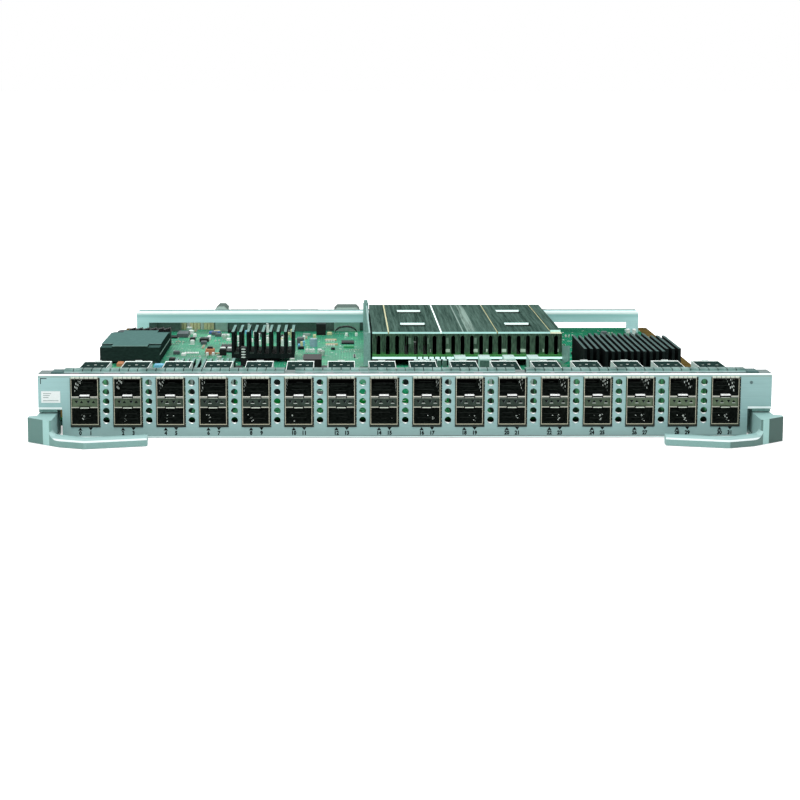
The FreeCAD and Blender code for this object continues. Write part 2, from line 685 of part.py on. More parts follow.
def make_port_cage(column):
    """A folded cage with two ports, one over the other, and a rear chamber."""
    name = f"port_cage_{column + 1:02d}"
    centre = port_x(column)
    half = size("cage_width") / 2
    body = add_body(f"{name}_body")
    shell = add_sketch(body, f"{name}_outline", "XZ_Plane", -CAGE_FRONT)
    add_outline(shell, rectangle((centre - half, centre + half), (BOARD_TOP, CAGE_TOP)))
    add_pad(body, f"{name}_shell", shell, size("cage_length"), True)
    openings = add_sketch(body, f"{name}_openings", "XZ_Plane", -CAGE_FRONT)
    sides = (centre - PORT_HALF, centre + PORT_HALF)
    for heights in ((LOWER_FLOOR, LOWER_ROOF), (STRIP_LOW, STRIP_TOP), (UPPER_FLOOR, UPPER_ROOF)):
        add_outline(openings, rectangle(sides, heights))
    add_pocket(body, f"{name}_ports", openings, size("shelf_length"))
    chamber = add_sketch(body, f"{name}_chamber", "XZ_Plane", -CAGE_FRONT - size("shelf_length"))
    add_outline(chamber, rectangle(sides, (LOWER_FLOOR, UPPER_ROOF)))
    depth = size("cage_length") - size("shelf_length") - size("cage_rear")
    add_pocket(body, f"{name}_rear", chamber, depth)
    tab = add_sketch(body, f"{name}_tab", "XY_Plane", CAGE_TOP)
    tab_half = size("cage_tab") / 2
    back = CAGE_FRONT + size("cage_length")
    add_outline(tab, rectangle((centre - tab_half, centre + tab_half), (back - size("cage_rear"), back)))
    add_pad(body, f"{name}_tab_pad", tab, size("cage_rear"))
    keep(name, body)


def make_port_insides():
    """Contact blocks and light pipe strips, one of each in every cage."""
    blocks = []
    strips = []
    gap = size("fit_gap")
    half = PORT_HALF - gap
    block_front = CAGE_FRONT + size("shelf_length") + gap
    block_back = CAGE_FRONT + size("cage_length") - size("cage_rear") - gap
    nose_half = size("nose_width") / 2
    nose_front = block_front - size("nose_length")
    for column in range(PORT_COLUMNS):
        centre = port_x(column)
        sides = (centre - half, centre + half)
        core = add_box(f"contact_core_{column}", sides, (block_front, block_back), (LOWER_FLOOR, UPPER_ROOF - gap))
        noses = [core]
        for level, floor, height in ((0, LOWER_FLOOR, size("lower_port")), (1, UPPER_FLOOR, size("upper_port"))):
            middle = floor + height / 2
            low = middle - size("nose_height") / 2
            spread = (centre - nose_half, centre + nose_half)
            heights = (low, low + size("nose_height"))
            noses.append(add_box(f"contact_nose_{column}_{level}", spread, (nose_front, block_front), heights))
        blocks.append(add_union(f"contact_block_{column}", noses))
        strip_back = CAGE_FRONT + size("shelf_length")
        strip_front = CAGE_FRONT + size("cage_proud")
        strips.append(add_box(f"light_strip_{column}", sides, (strip_front, strip_back),
                              (STRIP_LOW, STRIP_TOP - gap)))
    keep("port_contact_blocks", add_group("contact_group", blocks))
    keep("port_light_strips", add_group("strip_group", strips))


def make_lever(side, name):
    """An ejector lever: a hub and block at the card's corner, with a low bent grip."""
    body = add_body(f"{name}_body")
    low = size("face_lift")
    pivot_x = side * (EDGE - size("pivot_inset"))
    pivot_y = FRONT + size("pivot_depth")
    hub = size("hub_radius")
    plan = add_sketch(body, f"{name}_plan", "XY_Plane", low)
    depth = size("grip_depth")
    inner = EDGE - size("pivot_inset") - hub
    outer = EDGE - size("pivot_inset") + hub
    corners = [
        (EDGE + size("block_out"), FRONT - size("block_side_front")),
        (EDGE - size("bend_inset"), FRONT - size("bend_front")),
        (EDGE - size("knee_inset"), FRONT - size("knee_front")),
        (EDGE - size("tip_inset"), FRONT - size("tip_front")),
        (EDGE - size("tip_inset"), FRONT - size("tip_front") + depth),
        (EDGE - size("knee_inset"), FRONT - size("knee_front") + depth),
        (inner, FRONT - size("bend_front") + depth * 1.8),
        (inner, pivot_y),
        (outer, pivot_y),
        (outer, FRONT - size("block_side_back")),
        (EDGE + size("block_out"), FRONT - size("block_side_back") - size("face_thick")),
    ]
    add_outline(plan, [(side * x, y) for x, y in corners])
    block = add_pad(body, f"{name}_block", plan, size("lever_top") - low)
    turns = [(number(x), number(y)) for x, y in corners[1:3]]

    def at_turn(edge):
        middle = edge.CenterOfMass
        place = (abs(middle.x), middle.y)
        return is_along(edge, Z_AXIS) and any(math.dist(place, turn) < 1e-6 for turn in turns)

    add_fillet(body, f"{name}_front_round", block, size("front_round"), at_turn)
    over = add_sketch(body, f"{name}_over_grip", "XZ_Plane", -FRONT)
    tip = EDGE - size("tip_inset") - depth
    heights = (size("grip_top"), size("lever_top") + depth)
    add_outline(over, [(side * u, v) for u, v in rectangle((tip, inner), heights)])
    cut = add_pocket(body, f"{name}_grip_cut", over, size("knee_front") + depth, True)

    def at_root(edge):
        middle = edge.CenterOfMass
        near_x = abs(middle.x - side * inner.value) < 1e-6
        return near_x and abs(middle.z - size("grip_top").value) < 1e-6 and len(edge.Vertexes) == 2

    rounded = add_fillet(body, f"{name}_root", cut, size("lever_corner"), at_root)

    front_line = [(number(x), number(y)) for x, y in corners[:4]]

    def on_inner_front(edge):
        middle = edge.CenterOfMass
        upper = middle.z > size("grip_top").value - 1e-6
        inboard = abs(middle.x) < inner.value + 1e-3
        return upper and inboard and follows_line(edge, front_line)

    bevel = body.newObject("PartDesign::Chamfer", f"{name}_bevel")
    bevel.Base = (rounded, pick_edges(rounded, on_inner_front))
    bind(bevel, "Size", size("lever_bevel"))
    hub_end = add_sketch(body, f"{name}_hub", "XY_Plane", low)
    add_circle(hub_end, pivot_x, pivot_y, hub)
    add_pad(body, f"{name}_hub_pad", hub_end, size("lever_top") - low)
    relief = add_sketch(body, f"{name}_relief", "XY_Plane", low)
    add_circle(relief, pivot_x, pivot_y, size("ear_relief"))
    add_pocket(body, f"{name}_relief_cut", relief, size("ear_thick") + size("ear_gap"), True)
    bore = add_sketch(body, f"{name}_bore", "XY_Plane", low)
    add_circle(bore, pivot_x, pivot_y, size("pin_radius") + size("pin_clear"))
    add_pocket(body, f"{name}_bore_cut", bore, size("lever_top"), True)
    keep(name, body)


def follows_line(edge, line):
    """True if both ends of an edge lie over a line of plan points, on either side of the card."""
    for vertex in edge.Vertexes:
        across, along = abs(vertex.Point.x), vertex.Point.y
        near = False
        for (x_a, y_a), (x_b, y_b) in zip(line, line[1:]):
            if x_b - 1e-6 <= across <= x_a + 1e-6:
                expected = y_a + (y_b - y_a) * (across - x_a) / (x_b - x_a)
                near = near or abs(along - expected) < 1e-4
        if not near:
            return False
    return len(edge.Vertexes) == 2


def make_lever_mount(side, name):
    """The bracket behind the faceplate that holds a lever on its pin."""
    pivot_x = side * (EDGE - size("pivot_inset"))
    pivot_y = FRONT + size("pivot_depth")
    hub = size("hub_radius")
    ear_low = size("face_lift")
    ear_high = size("lever_top") + size("ear_gap")
    ear = size("ear_thick")
    back = FRONT + size("bracket_depth")
    face_back = FRONT + size("face_thick")
    body = add_body(f"{name}_bracket_body")
    section = add_sketch(body, f"{name}_bracket_section", "YZ_Plane", pivot_x - hub)
    add_outline(section, [
        (face_back, ear_low), (back + ear, ear_low), (back + ear, ear_high + ear),
        (face_back + ear, ear_high + ear), (face_back + ear, ear_high + ear + size("bracket_plate")),
        (face_back, ear_high + ear + size("bracket_plate")), (face_back, ear_high),
        (back, ear_high), (back, ear_low + ear), (face_back, ear_low + ear),
    ])
    add_pad(body, f"{name}_bracket_fold", section, hub * 2)
    drill = add_sketch(body, f"{name}_bracket_drill", "XY_Plane", ear_low)
    add_circle(drill, pivot_x, pivot_y, size("pin_radius") + size("pin_clear"))
    add_pocket(body, f"{name}_bracket_bore", drill, ear_high + ear, True)
    keep(f"{name}_ejector_bracket", body)
    top = ear_high + ear
    shank = add_cylinder(f"{name}_pin_shank", (pivot_x, pivot_y), (ear_low, top), size("pin_radius"))
    head_radius = size("pin_radius") * 1.5
    head_span = (top, top + size("pin_head"))
    head = add_prism(f"{name}_pin_head", (pivot_x, pivot_y), head_span, head_radius, ROUND_SIDES)
    keep(f"{name}_ejector_pin", add_union(f"{name}_pin", [shank, head]))
    rivets = []
    for level in (0.35, 0.75):
        height = top + size("bracket_plate") * level
        place = (pivot_x, face_back + ear, height)
        rivet = add_prism(f"{name}_rivet_{level}", place, (0.0, size("pin_head")), size("rivet_radius"), HEX_SIDES)
        turn_back(rivet, place)
        rivets.append(rivet)
    return rivets


def make_main_heatsink():
    """Base plate and long fins with round-cornered air slots between them."""
    body = add_body("main_heatsink_body")
    floor = size("sink_floor")
    base_top = floor + size("sink_base")
    base = add_sketch(body, "main_heatsink_base_outline", "XY_Plane", floor)
    ledge_front = SINK_FRONT - size("sink_ledge")
    add_outline(base, rectangle((SINK_LEFT, SINK_RIGHT), (ledge_front, SINK_BACK)))
    add_pad(body, "main_heatsink_base", base, size("sink_base"))
    block = add_sketch(body, "main_heatsink_block_outline", "XY_Plane", base_top)
    add_outline(block, rectangle((SINK_LEFT, SINK_RIGHT), (SINK_FRONT, SINK_BACK)))
    add_pad(body, "main_heatsink_block", block, COVER_LOW - base_top)
    slot = add_sketch(body, "main_heatsink_slot", "XZ_Plane", -SINK_FRONT)
    pitch = (size("sink_width") - size("fin_edge") * 2) / (FIN_COUNT - 1)
    thick = pitch * size("fin_share")
    left = SINK_LEFT + size("fin_edge") + thick / 2
    right = left + pitch - thick
    corner = (pitch - thick) * size("fin_corner")
    roof = COVER_LOW - size("cover_thick")
    add_outline(slot, [
        (left, base_top), (right, base_top), (right, roof - corner), (right - corner, roof),
        (left + corner, roof), (left, roof - corner),
    ])
    cut = add_pocket(body, "main_heatsink_slot_cut", slot, size("sink_length"))
    add_row(body, "main_heatsink_slots", cut, "X_Axis", pitch, FIN_COUNT - 1)
    wells = add_sketch(body, "main_heatsink_wells", "XY_Plane", COVER_LOW)
    for x, y in window_places():
        spans = window_spans(x, y)
        add_outline(wells, rectangle(*spans))
    sunk = add_pocket(body, "main_heatsink_well_cut", wells, COVER_LOW - base_top)
    body.Tip = sunk
    keep("main_heatsink", body)


def window_places():
    """The near left corner of each of the four windows in the heatsink."""
    half = size("window_width") / 2
    shares = [size(name) for name in ("window_left", "window_right")]
    columns = [SINK_LEFT + size("sink_width") * share - half for share in shares]
    rows = [SINK_FRONT + size(name) - size("window_length") / 2 for name in ("window_front", "window_rear")]
    return [(x, y) for x in columns for y in rows]


def window_spans(x, y):
    return (x, x + size("window_width")), (y, y + size("window_length"))


def make_heatsink_covers():
    """Five cover plates over the fins, with open slots between them."""
    shares = [size(name) for name in ("cover_end", "cover_second", "cover_middle", "cover_fourth")]
    widths = [size("sink_width") * share for share in shares]
    plates = []
    left = SINK_LEFT
    gap = size("cover_slot")
    for index, width in enumerate(widths):
        plates.append((left, left + width, SINK_FRONT))
        left = left + width + gap
    plates.append((left, SINK_RIGHT, SINK_FRONT + size("cover_setback")))
    heights = (COVER_LOW, size("sink_top"))
    solids = []
    for index, (start, end, front) in enumerate(plates):
        plate = add_box(f"cover_plate_{index}", (start, end), (front, SINK_BACK), heights)
        tools = []
        for number_, (x, y) in enumerate(window_places()):
            x_span, y_span = window_spans(x, y)
            inside = start.value < x_span[0].value and x_span[1].value < end.value
            if inside:
                tools.append(add_box(f"cover_window_{index}_{number_}", x_span, y_span, heights))
        solids.append(add_cut(f"cover_{index}", plate, tools))
    keep("heatsink_covers", add_group("cover_group", solids))
    screws = []
    base_top = size("sink_floor") + size("sink_base")
    for index, (x, y) in enumerate(window_places()):
        place = (x + size("window_width") / 2, y + size("window_length") / 2)
        top = base_top + size("head_height") * 2
        heights = (base_top, top)
        screws.append(add_prism(f"heatsink_screw_{index}", place, heights, size("standoff_radius"), HEAD_SIDES))
    keep("heatsink_screws", add_group("heatsink_screw_group", screws))


def make_switch_chip():
    """The package under the main heatsink: a substrate with a metal lid."""
    middle_x = SINK_LEFT + size("sink_width") / 2
    middle_y = SINK_FRONT + size("sink_length") / 2
    half = size("chip_size") / 2
    lid = size("chip_lid") / 2
    step = BOARD_TOP + size("chip_base")
    substrate = add_box("chip_substrate", (middle_x - half, middle_x + half),
                        (middle_y - half, middle_y + half), (BOARD_TOP, step))
    cover = add_box("chip_lid_block", (middle_x - lid, middle_x + lid),
                    (middle_y - lid, middle_y + lid), (step, size("sink_floor")))
    keep("switch_chip", add_union("chip_body", [substrate, cover]))


def make_side_heatsink(prefix, centre, count, short=0):
    """A black finned heatsink; short outer fins start further back."""
    half = size(f"{prefix}_sink_width") / 2
    front = FRONT + size(f"{prefix}_sink_front")
    length = size(f"{prefix}_sink_length")
    top = size(f"{prefix}_sink_top")
    floor = size("side_sink_floor")
    pitch = size(f"{prefix}_fin_pitch")
    thick = size(f"{prefix}_fin_thick")
    body = add_body(f"{prefix}_heatsink_body")
    blank = add_sketch(body, f"{prefix}_heatsink_outline", "XY_Plane", floor)
    add_outline(blank, rectangle((centre - half, centre + half), (front, front + length)))
    add_pad(body, f"{prefix}_heatsink_blank", blank, top - floor)
    slot = add_sketch(body, f"{prefix}_heatsink_slot", "XZ_Plane", -front)
    first = centre - (count - 1) / 2 * pitch + thick / 2
    heights = (floor + size("side_fin_base"), top)
    add_outline(slot, rectangle((first, first + pitch - thick), heights))
    cut = add_pocket(body, f"{prefix}_heatsink_slot_cut", slot, length)
    row = add_row(body, f"{prefix}_heatsink_fins", cut, "X_Axis", pitch, count - 1)
    if short:
        setback = size(f"{prefix}_fin_setback")
        inner = (count - 1) / 2 * pitch - (short - 1) * pitch - pitch / 2
        ends = add_sketch(body, f"{prefix}_heatsink_corners", "XY_Plane", top)
        for side in (-1, 1):
            across = (centre + side * inner, centre + side * half)
            spread = across if side > 0 else across[::-1]
            add_outline(ends, rectangle(spread, (front, front + setback)))
            add_outline(ends, rectangle(spread, (front + length - setback, front + length)))
        add_pocket(body, f"{prefix}_heatsink_corner_cut", ends, top - floor)
    keep(f"{prefix}_heatsink", body)
    middle = front + length / 2
    chip_half = half / 2
    chip = add_box(f"{prefix}_chip_box", (centre - chip_half, centre + chip_half),
                   (middle - chip_half, middle + chip_half), (BOARD_TOP, floor))
    keep(f"{prefix}_heatsink_chip", chip)


def make_power_module():
    """A potted power brick with stepped corners, on four short pins."""
    half = size("module_width") / 2
    centre = MODULE_LEFT + half
    front = FRONT + size("module_front")
    back = front + size("module_length")
    floor = size("module_floor")
    top = size("module_top")
    body = add_body("power_module_body")
    brick = add_sketch(body, "power_module_outline", "XY_Plane", floor)
    add_outline(brick, rectangle((centre - half, centre + half), (front, back)))
    add_pad(body, "power_module_brick", brick, top - floor)
    corners = add_sketch(body, "power_module_corners", "XY_Plane", top)
    across = size("recess_width")
    along = size("recess_length")
    for x_span in ((centre - half, centre - half + across), (centre + half - across, centre + half)):
        add_outline(corners, rectangle(x_span, (front, front + along)))
        add_outline(corners, rectangle(x_span, (back - along, back)))
    add_pocket(body, "power_module_steps", corners, size("module_step"))
    keep("power_module", body)
    pins = []
    radius = size("pin_radius")
    for index, (x, y) in enumerate((x, y) for x in (-1, 1) for y in (-1, 1)):
        place = (centre + x * (half - across / 2), (front + back) / 2 + y * (size("module_length") - along) / 2)
        pins.append(add_prism(f"module_pin_{index}", place, (BOARD_TOP, floor), radius, HEX_SIDES))
    keep("power_module_pins", add_group("module_pin_group", pins))


def make_rear_rail():
    """The bent stiffener across the back, on a leg and foot at each end."""
    half = TRAY_HALF + size("rail_over")
    front = RAIL_FRONT
    wall = size("rail_sheet")
    body = add_body("rear_rail_body")
    web = add_sketch(body, "rear_rail_outline", "XZ_Plane", -front)
    inner = half - size("rail_leg")
    top = size("rail_top")
    low = size("rail_low")
    add_outline(web, [
        (-half, BOARD_TOP), (-inner, BOARD_TOP), (-inner, low), (inner, low), (inner, BOARD_TOP),
        (half, BOARD_TOP), (half, top), (-half, top),
    ])
    add_pad(body, "rear_rail_web", web, wall, True)
    cap = add_sketch(body, "rear_rail_cap_outline", "XY_Plane", top)
    add_outline(cap, rectangle((-half, half), (front, front + size("rail_depth"))))
    flange = add_pad(body, "rear_rail_cap", cap, wall, True)

    def on_bend(edge):
        middle = edge.CenterOfMass
        at_front = abs(middle.y - front.value) < 1e-6
        return is_along(edge, X_AXIS) and at_front and abs(middle.z - top.value) < 1e-6

    def in_bend(edge):
        middle = edge.CenterOfMass
        at_back = abs(middle.y - front.value - wall.value) < 1e-6
        return is_along(edge, X_AXIS) and at_back and abs(middle.z - top.value + wall.value) < 1e-6

    inside = add_fillet(body, "rear_rail_inner_bend", flange, size("rail_bend") - wall, in_bend)
    add_fillet(body, "rear_rail_bend", inside, size("rail_bend"), on_bend)
    corners = add_sketch(body, "rear_rail_corners", "XZ_Plane", -front)
    cut = size("rail_corner")
    for side in (-1, 1):
        end = side * half
        add_outline(corners, [(end, top - cut), (end, top), (end - side * cut, top)])
    add_pocket(body, "rear_rail_corner_cut", corners, size("rail_depth"))
    feet = add_sketch(body, "rear_rail_feet_outline", "XY_Plane", BOARD_TOP)
    for x_span in ((-half, -inner), (inner, half)):
        add_outline(feet, rectangle(x_span, (front + wall / 2, front + size("rail_foot"))))
    add_pad(body, "rear_rail_feet", feet, wall)
    keep("rear_rail", body)
    screws = []
    for index, side in enumerate((-1, 1)):
        place = (side * (half - size("rail_leg") / 2), front + wall + size("rail_foot") / 2)
        heights = (BOARD_TOP + wall, BOARD_TOP + wall + size("head_height"))
        screws.append(add_prism(f"rail_screw_{index}", place, heights, size("rail_foot") / 3, HEAD_SIDES))
    keep("rail_screws", add_group("rail_screw_group", screws))


def make_baffles():
    """Air baffles beside the main heatsink, and the post at the back of the left one."""
    right = SINK_LEFT - size("baffle_space")
    left = right - size("sheet")
    top = BOARD_TOP + size("baffle_height")
    wall = add_box("left_baffle_wall", (left, right), (SINK_FRONT, SINK_BACK), (BOARD_TOP, top))
    flange = add_box("left_baffle_flange", (left - size("baffle_flange"), left),
                     (SINK_FRONT, SINK_FRONT + size("sheet")), (BOARD_TOP, top))
    keep("left_air_baffle", add_union("left_baffle", [wall, flange]))
    radius = size("guide_radius")
    place = (left, SINK_BACK + size("guide_back") + radius)
    neck = size("guide_top") - radius
    shaft = add_prism("guide_shaft", place, (BOARD_TOP, neck), radius, ROUND_SIDES)
    tip = add_prism("guide_tip", place, (neck, size("guide_top")), radius * 0.7, ROUND_SIDES)
    keep("guide_post", add_union("guide_post_solid", [shaft, tip]))
    body = add_body("right_baffle_body")
    side = add_sketch(body, "right_baffle_outline", "YZ_Plane", SINK_RIGHT)
    front = FRONT + size("side_baffle_front")
    back = front + size("side_baffle_length")
    low = size("side_baffle_low")
    rake = size("side_baffle_rake")
    upper = size("side_baffle_top")
    middle = (front + back) / 2
    add_outline(side, [
        (front, low + rake), (middle, low), (back, low), (back, upper - size("side_baffle_fall")), (front, upper),
    ])
    add_circle(side, (front + middle) / 2, (low + upper) / 2, size("side_baffle_hole"))
    add_pad(body, "right_baffle_sheet", side, size("sheet"))
    keep("right_air_baffle", body)


def make_rear_connectors():
    """Backplane connectors, guide modules and the power connector at the rear edge."""
    front = PLUG_FRONT
    back = front + size("plug_depth")
    half = size("plug_width") / 2
    banks = [(size("plug_left_x"), LEFT_PLUGS, "left"), (size("plug_first_x"), RIGHT_PLUGS, "right")]
    top = size("plug_top")
    for start, count, bank in banks:
        plugs = []
        for index in range(count):
            centre = start + index * size("plug_pitch")
            body = add_body(f"{bank}_plug_{index}_body")
            profile = add_sketch(body, f"{bank}_plug_{index}_side", "YZ_Plane", centre - half)
            step = size("plug_depth") / 4
            add_outline(profile, [
                (front, BOARD_TOP), (back, BOARD_TOP), (back, top), (front + step * 2, top),
                (front, top - step),
            ])
            add_pad(body, f"{bank}_plug_{index}_block", profile, size("plug_width"))
            plugs.append(body)
        keep(f"{bank}_backplane_connectors", add_group(f"{bank}_plug_group", plugs))
    gap = (size("plug_pitch") - size("plug_width")) / 2
    ends = {
        "outer": size("plug_left_x") - half - gap,
        "inner": size("plug_first_x") - half - gap - size("inner_guide_gap"),
    }
    cut = size("guide_corner")
    guides = []
    for kind, end in ends.items():
        start = end - size(f"{kind}_guide_width")
        high = size(f"{kind}_guide_top")
        body = add_body(f"{kind}_guide_body")
        profile = add_sketch(body, f"{kind}_guide_outline", "XZ_Plane", -front)
        add_outline(profile, [
            (start, BOARD_TOP), (end, BOARD_TOP), (end, high - cut), (end - cut, high), (start + cut, high),
            (start, high - cut),
        ])
        add_pad(body, f"{kind}_guide_block", profile, size("plug_depth"), True)
        guides.append(body)
    keep("guide_modules", add_group("guide_group", guides))
    supply_half = size("supply_width") / 2
    centre = size("supply_inset") - BOARD_HALF
    keep("power_connector", add_box("supply_block", (centre - supply_half, centre + supply_half),
                                    (front, back), (BOARD_TOP, size("plug_top") - size("sheet"))))


def make_board_parts():
    """Larger parts soldered to the board."""
    front = COIL_FRONT
    coils = []
    for index in range(COIL_COUNT):
        left = SINK_LEFT + size("coil_x") + index * size("coil_pitch")
        coils.append(add_box(f"coil_{index}", (left, left + size("coil_width")),
                             (front, front + size("coil_length")), (BOARD_TOP, size("coil_top"))))
    keep("coil_blocks", add_group("coil_group", coils))
    row = []
    for index in range(ROW_COUNT):
        left = SINK_LEFT + size("row_x") + index * size("row_pitch")
        row.append(add_box(f"row_part_{index}", (left, left + size("row_part")),
                           (front + size("row_pitch"), front + size("coil_length") / 2),
                           (BOARD_TOP, size("row_top"))))
    keep("filter_row", add_group("row_group", row))
    cans = []
    for index, (x, y) in enumerate(CAN_PLACES):
        place = (SINK_LEFT + x, FRONT + y)
        heights = (BOARD_TOP, size("can_top"))
        cans.append(add_prism(f"can_{index}", place, heights, size("can_radius"), ROUND_SIDES))
    keep("round_capacitors", add_group("can_group", cans))
    blocks = []
    tall_front = FRONT + size("tall_front")
    spans = {"tall": (tall_front, tall_front + size("tall_length")),
             "short": (SHORT_COIL_FRONT, SHORT_COIL_FRONT + size("short_width"))}
    for kind, along in spans.items():
        x = SINK_LEFT + size(f"{kind}_x")
        side = size(f"{kind}_width") / 2
        blocks.append(add_box(f"{kind}_coil", (x - side, x + side), along, (BOARD_TOP, size(f"{kind}_top"))))
    keep("black_coils", add_group("black_coil_group", blocks))
    half = size("package") / 2
    start = FRONT + size("package_front")
    chips = []
    for index in range(PORT_CHIPS):
        centre = (index - (PORT_CHIPS - 1) / 2) * PORT_PITCH * (PORT_COLUMNS / PORT_CHIPS)
        chips.append(add_box(f"port_chip_{index}", (centre - half, centre + half),
                             (start, start + size("package")), (BOARD_TOP, BOARD_TOP + size("package_height"))))
    keep("port_chips", add_group("chip_group", chips))
    memories = []
    module_right = MODULE_LEFT + size("module_width")
    places = [(SINK_LEFT + x, y) for x, y in MEMORY_PLACES] + [(module_right + x, y) for x, y in MODULE_MEMORY_PLACES]
    for index, (left, y) in enumerate(places):
        memories.append(add_box(f"memory_{index}", (left, left + size("memory_width")),
                                (FRONT + y, FRONT + y + size("memory_length")),
                                (BOARD_TOP, BOARD_TOP + size("memory_height"))))
    keep("memory_chips", add_group("memory_group", memories))


def make_status_lamp():
    """The small round lamp at the faceplate's upper right corner."""
    proud = size("fit_gap") * 2
    place = (EDGE - size("lamp_inset"), FRONT - proud, size("lamp_height"))
    lamp = add_prism("lamp", place, (0.0, proud), size("lamp_radius"), ROUND_SIDES)
    keep("status_lamp", turn_back(lamp, place))


def check_document():
    """Stops the build if any object failed or a sub-part is not sound."""
    for item in doc.Objects:
        if "Invalid" in item.State or "Error" in item.State:
            raise RuntimeError(f"{item.Name} failed: {item.State}")
    for name, item in NODES.items():
        shape = item.Shape
        if shape.isNull() or not shape.isValid() or not shape.Solids:
            raise RuntimeError(f"{name} has no sound solid")


def write_parts():
    os.makedirs("parts", exist_ok=True)
    for name, item in NODES.items():
        item.Shape.exportStep(os.path.join("parts", f"{name}.step"))


make_faceplate()
make_gasket()
make_tray()
make_board()
make_standoffs()
for port_column in range(PORT_COLUMNS):
    make_port_cage(port_column)
make_port_insides()
rivet_list = []
for lever_side, lever_name in ((-1, "left"), (1, "right")):
    make_lever(lever_side, f"{lever_name}_ejector")
    rivet_list += make_lever_mount(lever_side, lever_name)
keep("bracket_rivets", add_group("rivet_group", rivet_list))
make_main_heatsink()
make_heatsink_covers()
make_switch_chip()
make_side_heatsink("left", size("left_sink_x"), LEFT_FINS)
make_side_heatsink("right", RIGHT_SINK_X, RIGHT_FINS, RIGHT_SHORT_FINS)
make_side_heatsink("front", PORT_PITCH * size("front_sink_columns"), FRONT_FINS)
make_power_module()
make_rear_rail()
make_baffles()
make_rear_connectors()
make_board_parts()
make_status_lamp()
doc.recompute()
check_document()
write_parts()
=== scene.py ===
"""Looks for the switch line card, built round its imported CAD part.

Lengths in this file are millimetres in the row frame unless a name ends in _m.
"""

import json
import math
import random

import bpy
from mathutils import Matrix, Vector


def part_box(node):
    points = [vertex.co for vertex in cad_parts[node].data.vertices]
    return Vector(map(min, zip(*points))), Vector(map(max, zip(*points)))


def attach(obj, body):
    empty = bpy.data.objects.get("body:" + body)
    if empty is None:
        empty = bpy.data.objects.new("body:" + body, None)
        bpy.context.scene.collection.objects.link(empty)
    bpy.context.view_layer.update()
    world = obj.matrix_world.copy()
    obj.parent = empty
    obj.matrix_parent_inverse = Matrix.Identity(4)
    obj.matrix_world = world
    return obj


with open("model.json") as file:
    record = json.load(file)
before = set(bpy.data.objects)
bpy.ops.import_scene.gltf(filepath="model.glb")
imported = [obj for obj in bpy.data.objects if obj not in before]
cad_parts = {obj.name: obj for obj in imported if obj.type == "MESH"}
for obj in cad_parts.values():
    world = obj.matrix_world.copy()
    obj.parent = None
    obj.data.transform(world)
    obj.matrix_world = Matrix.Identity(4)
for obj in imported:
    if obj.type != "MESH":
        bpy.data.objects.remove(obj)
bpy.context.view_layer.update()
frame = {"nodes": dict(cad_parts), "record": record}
NODES = frame["nodes"]
MM = 0.001

FRONT = -217.0
PLATE_DEPTH = -214.6
CAGE_FRONT = -217.5
CAGE_BACK = -152.5
PITCH = 23.35
COLUMNS = 16
HALF_PORT = 7.0
HALF_CAGE = 7.85
INNER_CAGES = 176.0
END_WALLS = 186.0
CORNERS = 187.6
COPPER_BANDS = 190.5
LEVER_FACETS = 172.0
BAND_INNER, BAND_OUTER = 191.6, 195.4
BOARD_TOP = 6.4
LOWER_FLOOR, LOWER_ROOF = 8.0, 16.7
UPPER_FLOOR, UPPER_ROOF = 23.3, 32.7
CAGE_TOP = 33.4
PIN_X, PIN_Y, PIN_TOP = 195.0, -210.0, 13.7
PLUG_PITCH = 23.0
VENT_RADIUS = 1.85
VENT_LEVELS = [10.0 + 5.2 * level for level in range(5)]

CAMERA_X, CAMERA_Y, CAMERA_Z = -35.3, -1296.3, 194.4
FOCAL_PIXELS = 2000
TILT_TAN, TILT_COS, TILT_SIN = 0.1605, 0.987, 0.158
TURN_TAN = 0.0082
HORIZON_ROW, MIDDLE_COLUMN = 79.0, 356
ROW_SCALE = 2051.5
STRAIGHT_IN = -26.0

BLACK = (0, 0, 0)


def port_x(column):
    """The middle of a port column."""
    return (column - (COLUMNS - 1) / 2) * PITCH


def linear(red, green, blue):
    """A screen colour of 0 to 255 as linear light."""
    def convert(value):
        value /= 255
        return value / 12.92 if value <= 0.04045 else ((value + 0.055) / 1.055) ** 2.4
    return (convert(red), convert(green), convert(blue), 1.0)


def tint(value):
    """Turns a screen colour to linear light and leaves all else as it is."""
    return linear(*value) if isinstance(value, tuple) and len(value) == 3 else value


def add_node(tree, kind, *values, operation=None, **named):
    """A shader node whose inputs, in order and by name, are linked or set."""
    node = tree.nodes.new("ShaderNode" + kind)
    if operation:
        node.operation = operation
    pairs = list(zip(node.inputs, values))
    pairs += [(node.inputs[name.replace("_", " ")], value) for name, value in named.items()]
    for socket, value in pairs:
        feed(tree, socket, value)
    return node


def feed(tree, socket, value):
    """Links a socket to another one, or sets it to a number or a colour."""
    if isinstance(value, bpy.types.NodeSocket):
        tree.links.new(value, socket)
    else:
        socket.default_value = tint(value)


